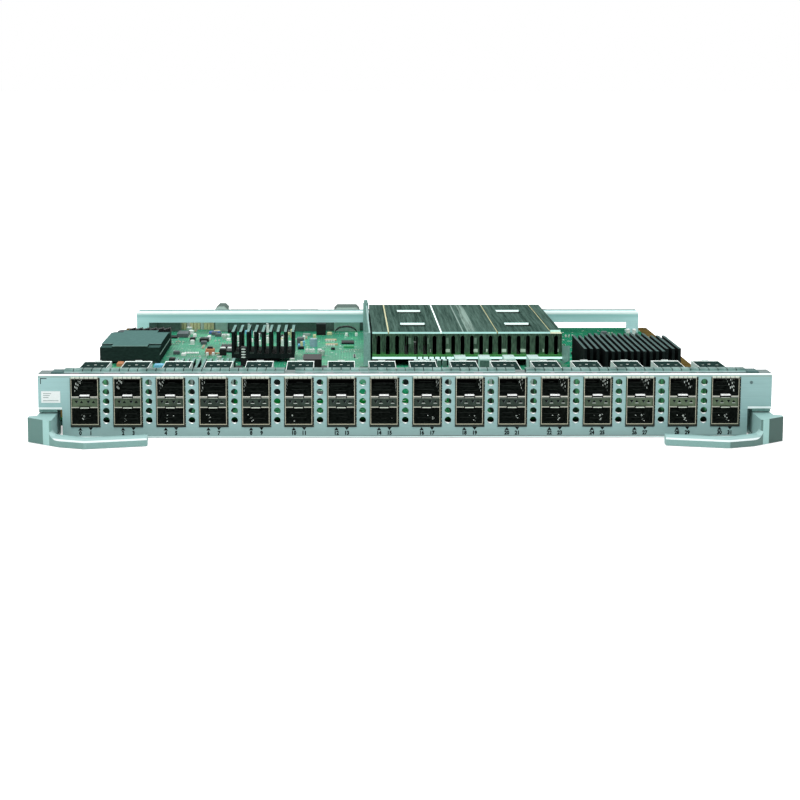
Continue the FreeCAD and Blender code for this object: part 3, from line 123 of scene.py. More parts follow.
class Paint:
    """A node material with short names for the nodes that it needs."""

    def __init__(self, name, rough=0.5, metal=0.0, specular=0.3):
        self.material = bpy.data.materials.new(name)
        self.material.use_nodes = True
        self.tree = self.material.node_tree
        self.set("Roughness", rough)
        self.set("Metallic", metal)
        self.set("Specular IOR Level", specular)
        spot = self.node("TexCoord").outputs
        self.place = self.node("VectorMath", spot["Object"], operation="SCALE", Scale=1000.0).outputs[0]
        self.x, self.y, self.z = self.node("SeparateXYZ", self.place).outputs
        self.nx, self.ny, self.nz = self.node("SeparateXYZ", spot["Normal"]).outputs
        self.far = self.away(self.x)
        self.tone = None

    def node(self, kind, *values, **named):
        return add_node(self.tree, kind, *values, **named)

    def set(self, name, value):
        """Sets or links an input of the surface."""
        feed(self.tree, self.tree.nodes["Principled BSDF"].inputs[name], value)

    def math(self, operation, first, second=0.0):
        return self.node("Math", first, second, operation=operation).outputs[0]

    def above(self, value, edge):
        return self.math("GREATER_THAN", value, edge)

    def below(self, value, edge):
        return self.math("LESS_THAN", value, edge)

    def away(self, value):
        """The value without its sign."""
        return self.math("ABSOLUTE", value)

    def either(self, first, second):
        return self.math("MAXIMUM", first, second)

    def inverse(self, mask):
        return self.math("SUBTRACT", 1.0, mask)

    def where(self, *masks, **ranges):
        """The product of masks, shares and ranges such as z=(1.0, 2.0); None leaves an end open."""
        masks = list(masks)
        for name, (low, high) in ranges.items():
            if low is not None:
                masks.append(self.above(getattr(self, name), low))
            if high is not None:
                masks.append(self.below(getattr(self, name), high))
        result = masks[0]
        for mask in masks[1:]:
            result = self.math("MULTIPLY", result, mask)
        return result

    def front(self):
        """On faces that look to the front."""
        return self.where(ny=(None, -0.5))

    def top(self):
        """On faces that look up."""
        return self.where(nz=(0.5, None))

    def flank(self):
        """On faces that look to the left or right."""
        return self.above(self.away(self.nx), 0.5)

    def repeat(self, value, pitch, offset=0.0):
        """The distance from the nearest of a row of lines."""
        moved = self.math("ADD", value, offset + pitch * 1000.5)
        return self.away(self.math("SUBTRACT", self.math("MODULO", moved, pitch), pitch / 2))

    def spread(self, value, low, high, to_low=0.0, to_high=1.0):
        """A ramp from one number to another while the value goes from low to high."""
        node = self.node("MapRange", value, From_Min=low, From_Max=high, To_Min=to_low, To_Max=to_high)
        return node.outputs["Result"]

    def noise(self, scale, detail=3.0, rough=0.5, stretch=None):
        """Cloudy noise; the stretch multiplies the place along X, Y and Z."""
        place = self.place
        if stretch:
            wide = self.node("VectorMath", place, operation="MULTIPLY")
            wide.inputs[1].default_value = stretch
            place = wide.outputs[0]
        node = self.node("TexNoise", Vector=place, Scale=scale, Detail=detail, Roughness=rough)
        return node.outputs["Fac"]

    def cells(self, scale):
        """The distance from the nearest of scattered points."""
        return self.node("TexVoronoi", Vector=self.place, Scale=scale).outputs["Distance"]

    def blend(self, first, second, share):
        """Two textures added, the first with that share."""
        return self.math("ADD", self.where(first, share), self.where(second, 1 - share))

    def mix(self, mask, first, second):
        """The first colour, or the second where the mask is on."""
        node = self.node("Mix")
        node.data_type = "RGBA"
        for index, value in ((0, mask), (6, first), (7, second)):
            feed(self.tree, node.inputs[index], value)
        return node.outputs[2]

    def fade(self, value, low, high, first, second):
        """One colour that turns into another while the value goes from low to high."""
        return self.mix(self.spread(value, low, high), first, second)

    def vary(self, rgb, amount, texture):
        """A colour that gets darker and lighter with a texture."""
        colour = linear(*rgb)
        dark = tuple(part * (1 - amount) for part in colour[:3]) + (1.0,)
        light = tuple(min(1.0, part * (1 + amount)) for part in colour[:3]) + (1.0,)
        return self.fade(texture, 0.3, 0.7, dark, light)

    def lay(self, colour, *masks, **ranges):
        """Lays a colour over the tone where all masks and ranges hold."""
        self.tone = self.mix(self.where(*masks, **ranges), self.tone, colour)

    def glow(self, colour, strength, mask=None):
        """A glow, only where the mask is on if one is given."""
        self.set("Emission Color", self.mix(mask, BLACK, colour) if mask else colour)
        self.set("Emission Strength", strength)

    def bump(self, height, strength=0.2, distance_m=0.0002):
        """Roughens the surface with a texture."""
        node = self.node("Bump", Strength=strength, Distance=distance_m, Height=height)
        self.set("Normal", node.outputs["Normal"])

    def finish(self):
        """The material, with the tone as its colour."""
        self.set("Base Color", self.tone)
        return self.material


def plain(name, rgb, rough=0.5, metal=0.0, amount=0.12, scale=0.6, bump=0.1, specular=0.2):
    """A moulded or painted finish with a fine, uneven surface."""
    paint = Paint(name, rough, metal, specular)
    paint.tone = paint.vary(rgb, amount, paint.noise(scale, 4.0))
    paint.bump(paint.noise(scale * 7, 2.0), bump)
    return paint.finish()


def brushed(name, rgb, lines, rough=0.38, metal=0.6, amount=0.12, bump=0.12):
    """Brushed metal; lines is the stretch of the grain along X, Y and Z."""
    paint = Paint(name, rough, metal)
    grain = paint.noise(1.0, 5.0, 0.65, lines)
    paint.tone = paint.vary(rgb, amount, paint.blend(grain, paint.noise(0.03), 0.65))
    paint.set("Roughness", paint.spread(grain, 0.3, 0.7, rough * 0.8, rough * 1.25))
    paint.bump(grain, bump, 0.0001)
    return paint.finish()


def glowing(name, rgb, amount, scale, glow, strength, rough=0.5, metal=0.0):
    """A small bright finish that glows with painted light in a dark place."""
    paint = Paint(name, rough, metal)
    paint.tone = paint.vary(rgb, amount, paint.noise(scale))
    paint.glow(glow, strength)
    return paint.finish()


def make_faceplate_paint():
    """Brushed plate: a white painted highlight on the top bend, a painted sheen towards the left end, painted
    shade low down and on the walls of the openings, a bright painted highlight line and dark painted shade
    lines along the lower edge, and a painted highlight on the corners.
    """
    paint = Paint("faceplate_brushed", 0.42, 0.3)
    grain = paint.noise(1.0, 6.0, 0.7, (0.05, 0.6, 2.6))
    paint.tone = paint.vary((144, 180, 179), 0.14, paint.blend(grain, paint.noise(0.02), 0.7))
    # painted sheen: lighter towards the left end
    paint.lay((168, 206, 206), paint.spread(paint.x, -200.0, -150.0, 0.42, 0.0))
    # painted shade: darker towards the bottom
    paint.lay((126, 152, 149), paint.spread(paint.z, 2.0, 12.0, 0.6, 0.0))
    front = paint.where(y=(None, PLATE_DEPTH))
    nose = paint.where(y=(None, FRONT + 0.9))
    # painted highlight: white along the top bend
    paint.lay((244, 250, 249), paint.spread(paint.z, 34.55, 35.1), nose)
    paint.lay((138, 160, 152), front, z=(33.8, 34.35))
    paint.lay((92, 112, 110), paint.inverse(nose), z=(34.9, None))
    # painted shade and highlight along the lower edge: a thin shade line that fades out to the left, a bright
    # highlight line, and shade at the very bottom
    paint.lay((60, 72, 68), front, paint.spread(paint.x, -70.0, 10.0, 0.0, 0.8), z=(1.05, 1.5))
    paint.lay((222, 244, 242), front, z=(0.45, 1.05))
    paint.lay((76, 96, 94), front, z=(None, 0.45))
    # painted highlight line along the corners beside the levers, a little darker below it
    corner = paint.where(front, far=(CORNERS, None))
    paint.lay((232, 244, 243), corner, z=(16.2, 17.3))
    paint.lay((130, 166, 161), corner, z=(None, 16.2))
    # painted shade on the walls of the openings and behind the front, lighter on the end walls
    walls = paint.where(y=(FRONT + 0.15, None), z=(None, 34.0))
    paint.lay((60, 74, 70), walls)
    paint.lay((118, 154, 148), walls, far=(END_WALLS, None))
    paint.set("Roughness", paint.spread(grain, 0.3, 0.7, 0.34, 0.55))
    paint.bump(grain, 0.15, 0.0001)
    return paint.finish()


def make_cage_paint():
    """Plated cage: thin cream rims, ports black with painted shade and a faint painted glow, dark perforated
    top with a bright rear edge that is a painted highlight, painted highlights on the upper rear of the outer
    side walls, and a painted green glow on the outer side walls near the front as a reflection of the board.
    """
    paint = Paint("cage_plated", 0.5, 0.2, 0.08)
    grain = paint.noise(1.2, 4.0)
    paint.across = paint.repeat(paint.x, PITCH, PITCH / 2)
    paint.tone = paint.vary((34, 42, 38), 0.3, grain)
    lid = paint.where(paint.top(), z=(CAGE_TOP - 0.2, None))
    paint.lay(paint.vary((34, 53, 50), 0.35, paint.noise(0.5, 4.0)), lid)
    # painted highlight on the rear edge of the top
    paint.lay((220, 236, 232), lid, y=(CAGE_BACK - 1.5, None))
    paint.lay((240, 248, 245), y=(CAGE_BACK - 3.0, None), z=(CAGE_TOP + 0.05, None))
    # painted highlight on the upper rear of the outer side walls
    side = paint.where(paint.flank(), far=(None, INNER_CAGES))
    paint.lay((214, 230, 226), side, across=(None, 8.5), y=(CAGE_BACK - 22.0, None), z=(20.0, None))
    # painted shade: the insides of the ports nearly black
    inside = paint.where(across=(None, HALF_PORT + 0.02), y=(CAGE_FRONT + 0.12, None),
                         z=(BOARD_TOP + 0.3, CAGE_TOP - 0.3))
    paint.lay(paint.vary((15, 18, 17), 0.5, paint.noise(0.4, 3.0, 0.6, (1.0, 0.2, 2.5))), inside)
    front = paint.where(y=(None, CAGE_FRONT + 0.12))
    speck = paint.noise(1.6, 2.0)
    paint.lay(paint.vary((24, 28, 25), 0.6, speck), front)
    paint.lay(paint.vary((172, 172, 152), 0.3, speck), front, across=(HALF_PORT + 0.08, HALF_PORT + 0.4))
    shelf = paint.where(front, across=(None, HALF_PORT + 0.1), z=(LOWER_ROOF - 0.1, UPPER_FLOOR + 0.1))
    paint.lay((34, 40, 37), shelf)
    paint.lay((204, 206, 194), shelf, z=(22.78, 23.5))
    paint.lay((150, 160, 150), shelf, z=(21.9, 22.42))
    paint.lay((178, 182, 168), shelf, z=(17.0, 17.6))
    paint.lay((36, 44, 38), front, z=(None, LOWER_FLOOR - 0.4))
    sill = (LOWER_FLOOR - 0.4, LOWER_FLOOR + 0.1)
    paint.lay((176, 176, 154), front, across=(None, HALF_PORT + 0.4), z=sill)
    # painted reflection: the outer side walls near the front glow green as if they mirror the board, black
    # low down; the insides of the ports get a faint painted glow
    outer = paint.where(side, across=(HALF_PORT + 0.3, None), y=(None, CAGE_FRONT + 38.0))
    green = paint.fade(paint.noise(0.16, 2.0), 0.38, 0.66, (12, 48, 28), (70, 148, 98))
    green = paint.fade(paint.z, 11.5, 13.5, (3, 5, 5), green)
    dim = paint.fade(paint.noise(0.5), 0.4, 0.65, (4, 6, 5), (27, 32, 29))
    paint.glow(paint.mix(outer, paint.mix(inside, BLACK, dim), green), 0.8)
    open_parts = paint.inverse(paint.either(inside, lid))
    paint.set("Metallic", paint.where(open_parts, 0.3))
    paint.set("Specular IOR Level", paint.where(open_parts, 0.2))
    paint.bump(grain, 0.12)
    return paint.finish()


def make_board_paint():
    """Green board with copper runs and vias, a copper band along each side, painted shade on the board behind
    the cages and painted glowing spots in a strip between them.
    """
    paint = Paint("board_mask", 0.42, 0.0, 0.2)
    paint.tone = paint.vary((30, 132, 100), 0.34, paint.noise(0.05, 5.0))
    zones = paint.noise(0.045, 2.0)
    runs = paint.where(paint.below(paint.repeat(paint.x, 1.9), 0.28), paint.above(zones, 0.5))
    more = paint.where(paint.below(paint.repeat(paint.y, 2.3), 0.32), paint.below(zones, 0.47))
    runs = paint.either(runs, more)
    paint.lay((70, 178, 130), runs, 0.55)
    paint.lay((58, 168, 112), paint.above(paint.noise(0.09), 0.6), 0.6)
    dots = paint.cells(0.36)
    paint.lay((170, 205, 178), paint.below(dots, 0.16))
    paint.lay((20, 40, 32), paint.below(dots, 0.07))
    paint.lay((132, 128, 84), paint.below(paint.away(paint.nz), 0.5))
    right = paint.spread(paint.x, 95.0, 115.0)
    paint.lay((30, 84, 62), right, paint.spread(paint.y, 60.0, 200.0, 0.0, 0.6))
    # painted shade on the board behind the cages, deepest near the front
    middle = paint.spread(paint.far, 95.0, 130.0, 0.6, 0.0)
    paint.lay((10, 84, 44), middle, paint.spread(paint.y, -50.0, -15.0, 1.0, 0.0))
    paint.lay((6, 84, 22), paint.spread(paint.y, -128.0, -95.0, 0.85, 0.0))
    paint.lay((2, 6, 5), paint.spread(paint.y, -196.0, -184.0, 0.97, 0.0))
    band = paint.where(far=(COPPER_BANDS, None))
    paint.lay(paint.vary((92, 78, 44), 0.3, paint.noise(0.15)), band, y=(-185.0, None))
    paint.lay((84, 120, 112), paint.front(), y=(None, -190.0))
    # painted glow: spots of light on the board between the cages
    painted_bounce_glow = paint.fade(paint.noise(0.45, 2.0), 0.42, 0.6, (18, 84, 44), (120, 206, 164))
    paint.glow(painted_bounce_glow, 0.3, paint.where(far=(None, INNER_CAGES), y=(-176.0, -156.0)))
    sheen = paint.spread(paint.y, -60.0, -5.0, 0.0, 0.2)
    paint.set("Specular IOR Level", paint.where(sheen, paint.inverse(band), paint.inverse(right)))
    paint.bump(runs, 0.25, 0.0001)
    return paint.finish()


def make_cover_paint():
    """Dark plates with streaks from front to back, pale bands painted as reflections, and a bright front edge
    that is a painted highlight with a glow.
    """
    paint = Paint("cover_dark", 0.6, 0.0, 0.0)
    streak = paint.noise(1.0, 6.0, 0.7, (0.55, 0.012, 0.7))
    fine = paint.noise(1.0, 4.0, 0.7, (3.0, 0.05, 1.0))
    paint.tone = paint.fade(paint.blend(streak, fine, 0.65), 0.4, 0.66, (40, 60, 54), (94, 122, 112))
    # painted reflections: pale bands across the plates
    paint.lay((168, 192, 182), paint.spread(streak, 0.38, 0.6), 0.6, x=(48.6, 54.4))
    paint.lay((170, 192, 184), 0.6, x=(45.4, 46.2))
    paint.lay((110, 138, 128), 0.1, x=(30.9, 68.0))
    # painted highlight with a painted glow on the front edge
    front = paint.front()
    paint.lay((206, 248, 244), front)
    paint.glow((150, 196, 192), 0.32, front)
    paint.lay((210, 230, 226), y=(None, 170.0), ny=(0.5, None))
    paint.bump(fine, 0.12, 0.0001)
    return paint.finish()


def make_fin_paint():
    """Bare fins: posts in front that pick up the board as a painted green reflection, painted glints, dark
    air slots and foot gaps from painted shade, and a foot rim with a painted highlight and glow.
    """
    paint = Paint("fin_bare", 0.45, 0.0, 0.2)
    front, side, top = paint.front(), paint.flank(), paint.top()
    grain = paint.noise(1.0, 4.0, 0.6, (1.4, 0.2, 0.3))
    cell = paint.noise(1.0, 1.0, 0.4, (0.16, 0.0, 0.0))
    paint.tone = paint.fade(grain, 0.35, 0.65, (34, 54, 42), (80, 108, 88))
    # painted glints on the posts
    paint.lay((206, 226, 208), paint.above(cell, 0.52), 0.85, x=(24.0, None), z=(15.4, 17.6))
    paint.lay((150, 176, 158), paint.above(cell, 0.6), 0.45, z=(21.0, 25.0))
    # painted reflection: green from the board low on the posts
    paint.lay((58, 128, 70), paint.spread(paint.z, 14.2, 16.0, 0.75, 0.0))
    # painted shade on all but the front faces, darkest on the fin sides in the air slots
    paint.lay(paint.mix(side, (60, 78, 72), (10, 13, 12)), paint.inverse(front))
    paint.lay((200, 208, 176), top, z=(20.0, None))
    # painted reflection of the board on the front of the ledge and on the posts above the foot, painted shade
    # on the ledge behind
    ledge = paint.where(top, z=(13.5, 14.5))
    paint.lay((88, 160, 92), ledge, y=(None, 18.0))
    paint.lay((8, 10, 10), ledge, y=(18.3, None))
    paint.lay((74, 146, 80), front, z=(12.6, 14.0))
    # painted shade in the gaps of the foot, painted highlight with a glow on the rest of its rim
    foot = paint.where(front, z=(None, 12.6))
    gaps = paint.where(paint.below(paint.repeat(paint.x, 3.83), 0.5), x=(14.5, 38.0))
    paint.lay((12, 20, 18), foot, gaps)
    rim = paint.where(foot, paint.inverse(gaps))
    paint.lay((206, 232, 228), rim)
    paint.glow((188, 230, 222), 1.05, rim)
    paint.lay((84, 108, 100), side, x=(None, -14.0))
    paint.bump(grain, 0.1)
    return paint.finish()


def make_black_fin_paint():
    """Black anodised fins with teal-grey tops and painted glints on the base between the left fins."""
    paint = Paint("fin_black", 0.6, 0.0, 0.03)
    grain = paint.noise(1.0, 4.0, 0.6, (1.0, 0.12, 0.4))
    paint.tone = paint.vary((13, 17, 17), 0.4, grain)
    paint.lay(paint.vary((26, 33, 33), 0.35, grain), paint.front())
    # painted glints on the base between the left fins
    painted_gleam = paint.mix(paint.above(paint.noise(0.12), 0.54), (8, 14, 12), (52, 76, 66))
    paint.lay(painted_gleam, paint.top(), x=(-110.0, -65.0), y=(-60.0, None), z=(None, 13.0))
    right, left = paint.vary((70, 94, 91), 0.25, grain), paint.vary((116, 154, 147), 0.25, grain)
    paint.lay(paint.mix(paint.below(paint.x, 0.0), right, left), paint.top(), z=(26.0, None))
    paint.bump(grain, 0.12)
    return paint.finish()


def make_rail_paint():
    """Plated sheet, white on the bend as a painted highlight, painted shade on its upper face, and darker on
    top.
    """
    paint = Paint("rail_plated", 0.38, 0.1, 0.2)
    grain = paint.noise(1.0, 5.0, 0.6, (0.02, 0.5, 1.2))
    # painted shade: the upper face darker than the lower
    low, high = paint.vary((192, 236, 238), 0.08, grain), paint.vary((166, 217, 218), 0.08, grain)
    paint.tone = paint.fade(paint.z, 17.0, 19.4, low, high)
    # painted highlight: white on the bend
    paint.lay((236, 255, 254), paint.spread(paint.z, 19.8, 20.9), paint.spread(paint.z, 22.6, 23.2, 1.0, 0.0))
    paint.lay((92, 126, 122), paint.spread(paint.z, 22.9, 23.4))
    paint.bump(grain, 0.08, 0.0001)
    return paint.finish()


def make_lever_paint():
    """Teal-grey powder coat with painted light: painted shade darkens the outer front faces, the facets and
    the outward sides, more on the right lever than the left, and a painted highlight makes the bevel bright.
    """
    paint = Paint("lever_coat", 0.5, 0.0, 0.15)
    grain = paint.noise(2.2)
    paint.tone = paint.vary((146, 184, 181), 0.07, grain)
    left = paint.below(paint.x, 0.0)
    facing = paint.where(ny=(None, -0.3))
    upright = paint.where(facing, paint.below(paint.away(paint.nz), 0.3))
    # painted shade on the front faces, deepest on the outer faces and facets, more on the right lever than
    # the left
    paint.lay(paint.mix(left, (76, 102, 96), (102, 138, 132)), facing, far=(BAND_OUTER, None))
    front = paint.where(upright, far=(None, BAND_INNER))
    paint.lay(paint.vary((134, 173, 168), 0.07, grain), front)
    paint.lay(paint.mix(left, (102, 132, 127), (124, 162, 156)), front, far=(LEVER_FACETS, None))
    paint.lay(paint.vary((166, 210, 205), 0.05, grain), upright, far=(BAND_INNER, BAND_OUTER))
    # painted shade on the faces that look outward
    outward = paint.where(paint.nx, paint.math("SIGN", paint.x))
    paint.lay((112, 146, 140), paint.above(outward, 0.85))
    # painted highlight on the bevel, brightest in a line from 3.4 to 4.5 mm
    slant = paint.where(nz=(0.3, 0.9), ny=(None, 0.2))
    paint.lay((160, 194, 192), slant)
    paint.lay((226, 240, 240), slant, z=(3.4, 4.5))
    paint.lay((170, 206, 203), slant, z=(5.7, None))
    paint.bump(paint.noise(3.0, 2.0), 0.12, 0.0001)
    return paint.finish()


def make_gasket_paint():
    """Spring fingers: teal-grey crowns, lower slopes darker with painted shade and crossed by a bright band
    of painted glints, and a dull, slightly pink foot.
    """
    paint = Paint("gasket_spring", 0.42, 0.1, 0.15)
    grain = paint.noise(1.5)
    patch = paint.noise(1.0, 2.0, 0.5, (0.09, 0.0, 0.0))
    paint.tone = paint.fade(patch, 0.4, 0.6, (74, 108, 102), (126, 164, 158))
    paint.lay((50, 78, 72), paint.spread(grain, 0.35, 0.75, 0.0, 0.45))
    # painted shade on the slopes and a band of painted glints across them
    slope = paint.where(ny=(None, -0.3), z=(None, 37.0))
    paint.lay((96, 130, 125), slope)
    paint.lay((140, 166, 164), slope, paint.spread(patch, 0.36, 0.52, 0.35, 1.0), z=(35.95, 36.55))
    pink = paint.mix(paint.above(patch, 0.52), (84, 98, 98), (134, 118, 124))
    paint.lay(pink, slope, z=(None, 35.95))
    paint.bump(grain, 0.1)
    return paint.finish()


def make_module_paint():
    """Potted brick: teal-grey top, near-black sides, dark corner recesses, a painted reflection line on the
    right sides and a painted highlight on the upper front edge.
    """
    paint = Paint("module_case", 0.6, 0.0, 0.0)
    grain = paint.noise(0.8, 4.0, 0.6, (0.4, 1.0, 1.0))
    paint.tone = paint.vary((36, 53, 49), 0.25, grain)
    paint.lay(paint.vary((86, 120, 116), 0.14, grain), paint.top(), z=(18.0, None))
    paint.lay((60, 88, 84), paint.top(), z=(16.5, 17.9))
    # painted reflection line on the right sides and painted highlight on the upper front edge
    paint.lay((190, 214, 208), 0.7, z=(12.0, 13.0), nx=(0.5, None))
    paint.lay((150, 184, 178), paint.front(), z=(18.15, None))
    paint.bump(grain, 0.08)
    return paint.finish()


def make_strip_paint():
    """Smoked light pipes, lighter towards both ends of the faceplate."""
    paint = Paint("strip_smoked", 0.4, 0.0, 0.15)
    grain = paint.noise(0.35)
    dark, light = paint.vary((42, 56, 48), 0.25, grain), paint.vary((92, 110, 86), 0.2, grain)
    paint.tone = paint.fade(paint.away(paint.math("ADD", paint.x, 20.0)), 90.0, 170.0, dark, light)
    paint.bump(grain, 0.1)
    return paint.finish()


def make_coil_paint():
    """Coil blocks: pale tops over dull green-grey fronts."""
    paint = Paint("coil_sheet", 0.5, 0.1, 0.1)
    grain = paint.noise(0.5, 4.0)
    block_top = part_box("coil_blocks")[1].z / MM
    paint.tone = paint.vary((204, 230, 226), 0.12, grain)
    paint.lay(paint.vary((84, 112, 104), 0.25, grain), paint.front(), z=(None, block_top - 1.0))
    paint.bump(grain, 0.12)
    return paint.finish()


def make_guide_paint():
    """Pale cast guides with dark upper edges."""
    paint = Paint("guide_cast", 0.55, 0.1, 0.1)
    grain = paint.noise(0.8, 4.0)
    paint.tone = paint.vary((204, 224, 216), 0.06, grain)
    paint.lay(paint.vary((66, 90, 82), 0.15, grain), nz=(0.3, None))
    paint.bump(grain, 0.12)
    return paint.finish()


def make_bracket_paint():
    """Plated sheet of the brackets, baffles and the guide post."""
    paint = Paint("bracket_plated", 0.45, 0.1, 0.2)
    paint.tone = paint.vary((142, 182, 176), 0.12, paint.noise(0.8, 4.0))
    paint.bump(paint.noise(3.0, 2.0), 0.08)
    return paint.finish()


def make_speckle_paint():
    """Dark seal with pale specks."""
    paint = Paint("gap_speckle", 0.6)
    paint.tone = paint.mix(paint.above(paint.noise(1.1, 2.0), 0.57), (26, 32, 29), (150, 150, 122))
    return paint.finish()


PAINTS = {
    "faceplate_metal": make_faceplate_paint(),
    "spring_metal": make_gasket_paint(),
    "foam": plain("pad_foam", (74, 104, 102), 0.7, 0.0, 0.2, 1.2, 0.3),
    "board_green": make_board_paint(),
    "sheet_metal": make_rail_paint(),
    "screw_metal": brushed("screw_bright", (190, 198, 196), (1.2, 1.2, 1.2), 0.3, 0.6),
    "black_plastic": plain("plastic_black", (20, 22, 22), 0.5, 0.0, 0.4, 0.5, 0.15),
    "strip_plastic": make_strip_paint(),
    "lever_paint": make_lever_paint(),
    "fin_metal": make_fin_paint(),
    "cover_metal": make_cover_paint(),
    "cage_metal": make_cage_paint(),
    "chip_black": plain("chip_moulded", (34, 38, 40), 0.55, 0.0, 0.2, 2.2, 0.25),
    "black_fins": make_black_fin_paint(),
    "module_black": make_module_paint(),
    "connector_plastic": plain("connector_moulded", (104, 122, 116), 0.5, 0.0, 0.15, 0.8, 0.1),
    "cast_metal": make_guide_paint(),
    "coil_metal": make_coil_paint(),
    "can_metal": brushed("can_sleeve", (170, 196, 214), (0.5, 0.5, 1.5), 0.35, 0.4),
    "lamp_plastic": plain("lamp_ring", (96, 122, 122), 0.35, 0.0, 0.2, 1.5, 0.1),
}
BRACKET = make_bracket_paint()
OTHER_FINISHES = {
    "left_ejector_bracket": BRACKET,
    "right_ejector_bracket": BRACKET,
    "left_air_baffle": BRACKET,
    "right_air_baffle": BRACKET,
    "guide_post": BRACKET,
    "power_connector": PAINTS["connector_plastic"],
}
for row in frame["record"]["subparts"]:
    mesh = NODES[row["node"]].data
    mesh.materials.clear()
    mesh.materials.append(OTHER_FINISHES.get(row["node"], PAINTS[row["material_slot"]]))

# bright metal, also used as the painted highlight on the lit vent rims
METAL_BRIGHT = brushed("edge_bright", (236, 240, 238), (0.6, 0.6, 0.6), 0.35, 0.3, 0.06)
METAL_TIN = brushed("part_tin", (196, 206, 198), (0.9, 0.9, 0.9), 0.38, 0.45, 0.15)
RIM_CREAM = plain("rim_cream", (192, 202, 188), 0.4, 0.1, 0.12, 1.2)
RIM_GOLD = plain("rim_gold", (120, 114, 92), 0.4, 0.1, 0.3, 1.2)
# also paints the shade in the vent rims and the finger notches
RIM_DARK = plain("rim_dark", (46, 48, 42), 0.5, 0.1, 0.3, 1.2)
SLOT_GOLD = plain("slot_gold", (176, 178, 132), 0.5, 0.0, 0.12, 1.0)
WHITE_PAD = plain("part_white", (232, 240, 236), 0.5, 0.0, 0.06, 1.0)
CREAM = plain("part_cream", (206, 206, 160), 0.5, 0.0, 0.14, 1.0)
BEIGE = plain("part_beige", (184, 166, 132), 0.55, 0.0, 0.15, 1.0)
ORANGE = plain("part_orange", (190, 128, 92), 0.5, 0.0, 0.18, 1.0)
BLUE = plain("part_blue", (70, 110, 168), 0.45, 0.0, 0.18, 1.0)
CYAN = plain("part_cyan", (120, 190, 220), 0.45, 0.0, 0.18, 1.0)
GREY_PART = plain("part_grey", (86, 96, 98), 0.5, 0.0, 0.15, 1.0)
BLACK_PART = plain("part_black", (24, 27, 28), 0.5, 0.0, 0.3, 1.0)
GREEN_PART = plain("part_green", (70, 160, 108), 0.5, 0.0, 0.15, 1.0)
INK = plain("ink_black", (12, 16, 18), 0.7, 0.0, 0.3, 2.0, 0.05, 0.05)
# paints the shade inside holes, slots and recesses
HOLE = plain("hole_dark", (8, 10, 10), 0.8, 0.0, 0.3, 1.0, 0.05, 0.1)
LABEL = plain("label_paper", (240, 246, 245), 0.55, 0.0, 0.03, 1.5)
LABEL_INK = plain("label_ink", (150, 166, 164), 0.6, 0.0, 0.15, 1.5)
TOP_DOT = plain("top_dot", (128, 144, 136), 0.5, 0.1, 0.2, 1.0)
SPECKLE = make_speckle_paint()
# painted light: window far walls and a slot bottom of the covers glow white as if lit
WINDOW_GLOW = glowing("window_glow", (226, 246, 242), 0.05, 1.0, (226, 246, 242), 0.7)
# contacts in their own dull colour with a faint painted glow
CONTACT = glowing("contact_dull", (34, 40, 37), 0.5, 0.35, (24, 29, 26), 0.8, 0.6)
# painted highlight with a glow on the top edges and rear tabs of the cages
TOP_EDGE = glowing("top_edge", (232, 240, 236), 0.1, 0.7, (220, 232, 228), 0.35, 0.45, 0.1)
# painted light: perforations lit from behind and glints on the port floors
BRIGHT_SPOT_GLOW = glowing("bright_spot_glow", (226, 232, 226), 0.15, 0.8, (210, 222, 214), 0.75)
DIM_SPOT_GLOW = glowing("dim_spot_glow", (150, 160, 154), 0.2, 0.8, (120, 130, 124), 0.5)


def show(name, data):
    """An object of the scene that holds the data."""
    item = bpy.data.objects.new(name, data)
    bpy.context.scene.collection.objects.link(item)
    return item


def circle(count, radius):
    """The points of a regular ring round the origin."""
    turns = [2 * math.pi * index / count for index in range(count)]
    return [(radius * math.cos(turn), radius * math.sin(turn)) for turn in turns]


def ring_faces(rings, sides):
    """The faces between rings of points that lie one above the other."""
    faces = []
    for ring in range(rings - 1):
        for index in range(sides):
            after = (index + 1) % sides
            a, b = ring * sides, (ring + 1) * sides
            faces.append((a + index, a + after, b + after, b + index))
    return faces


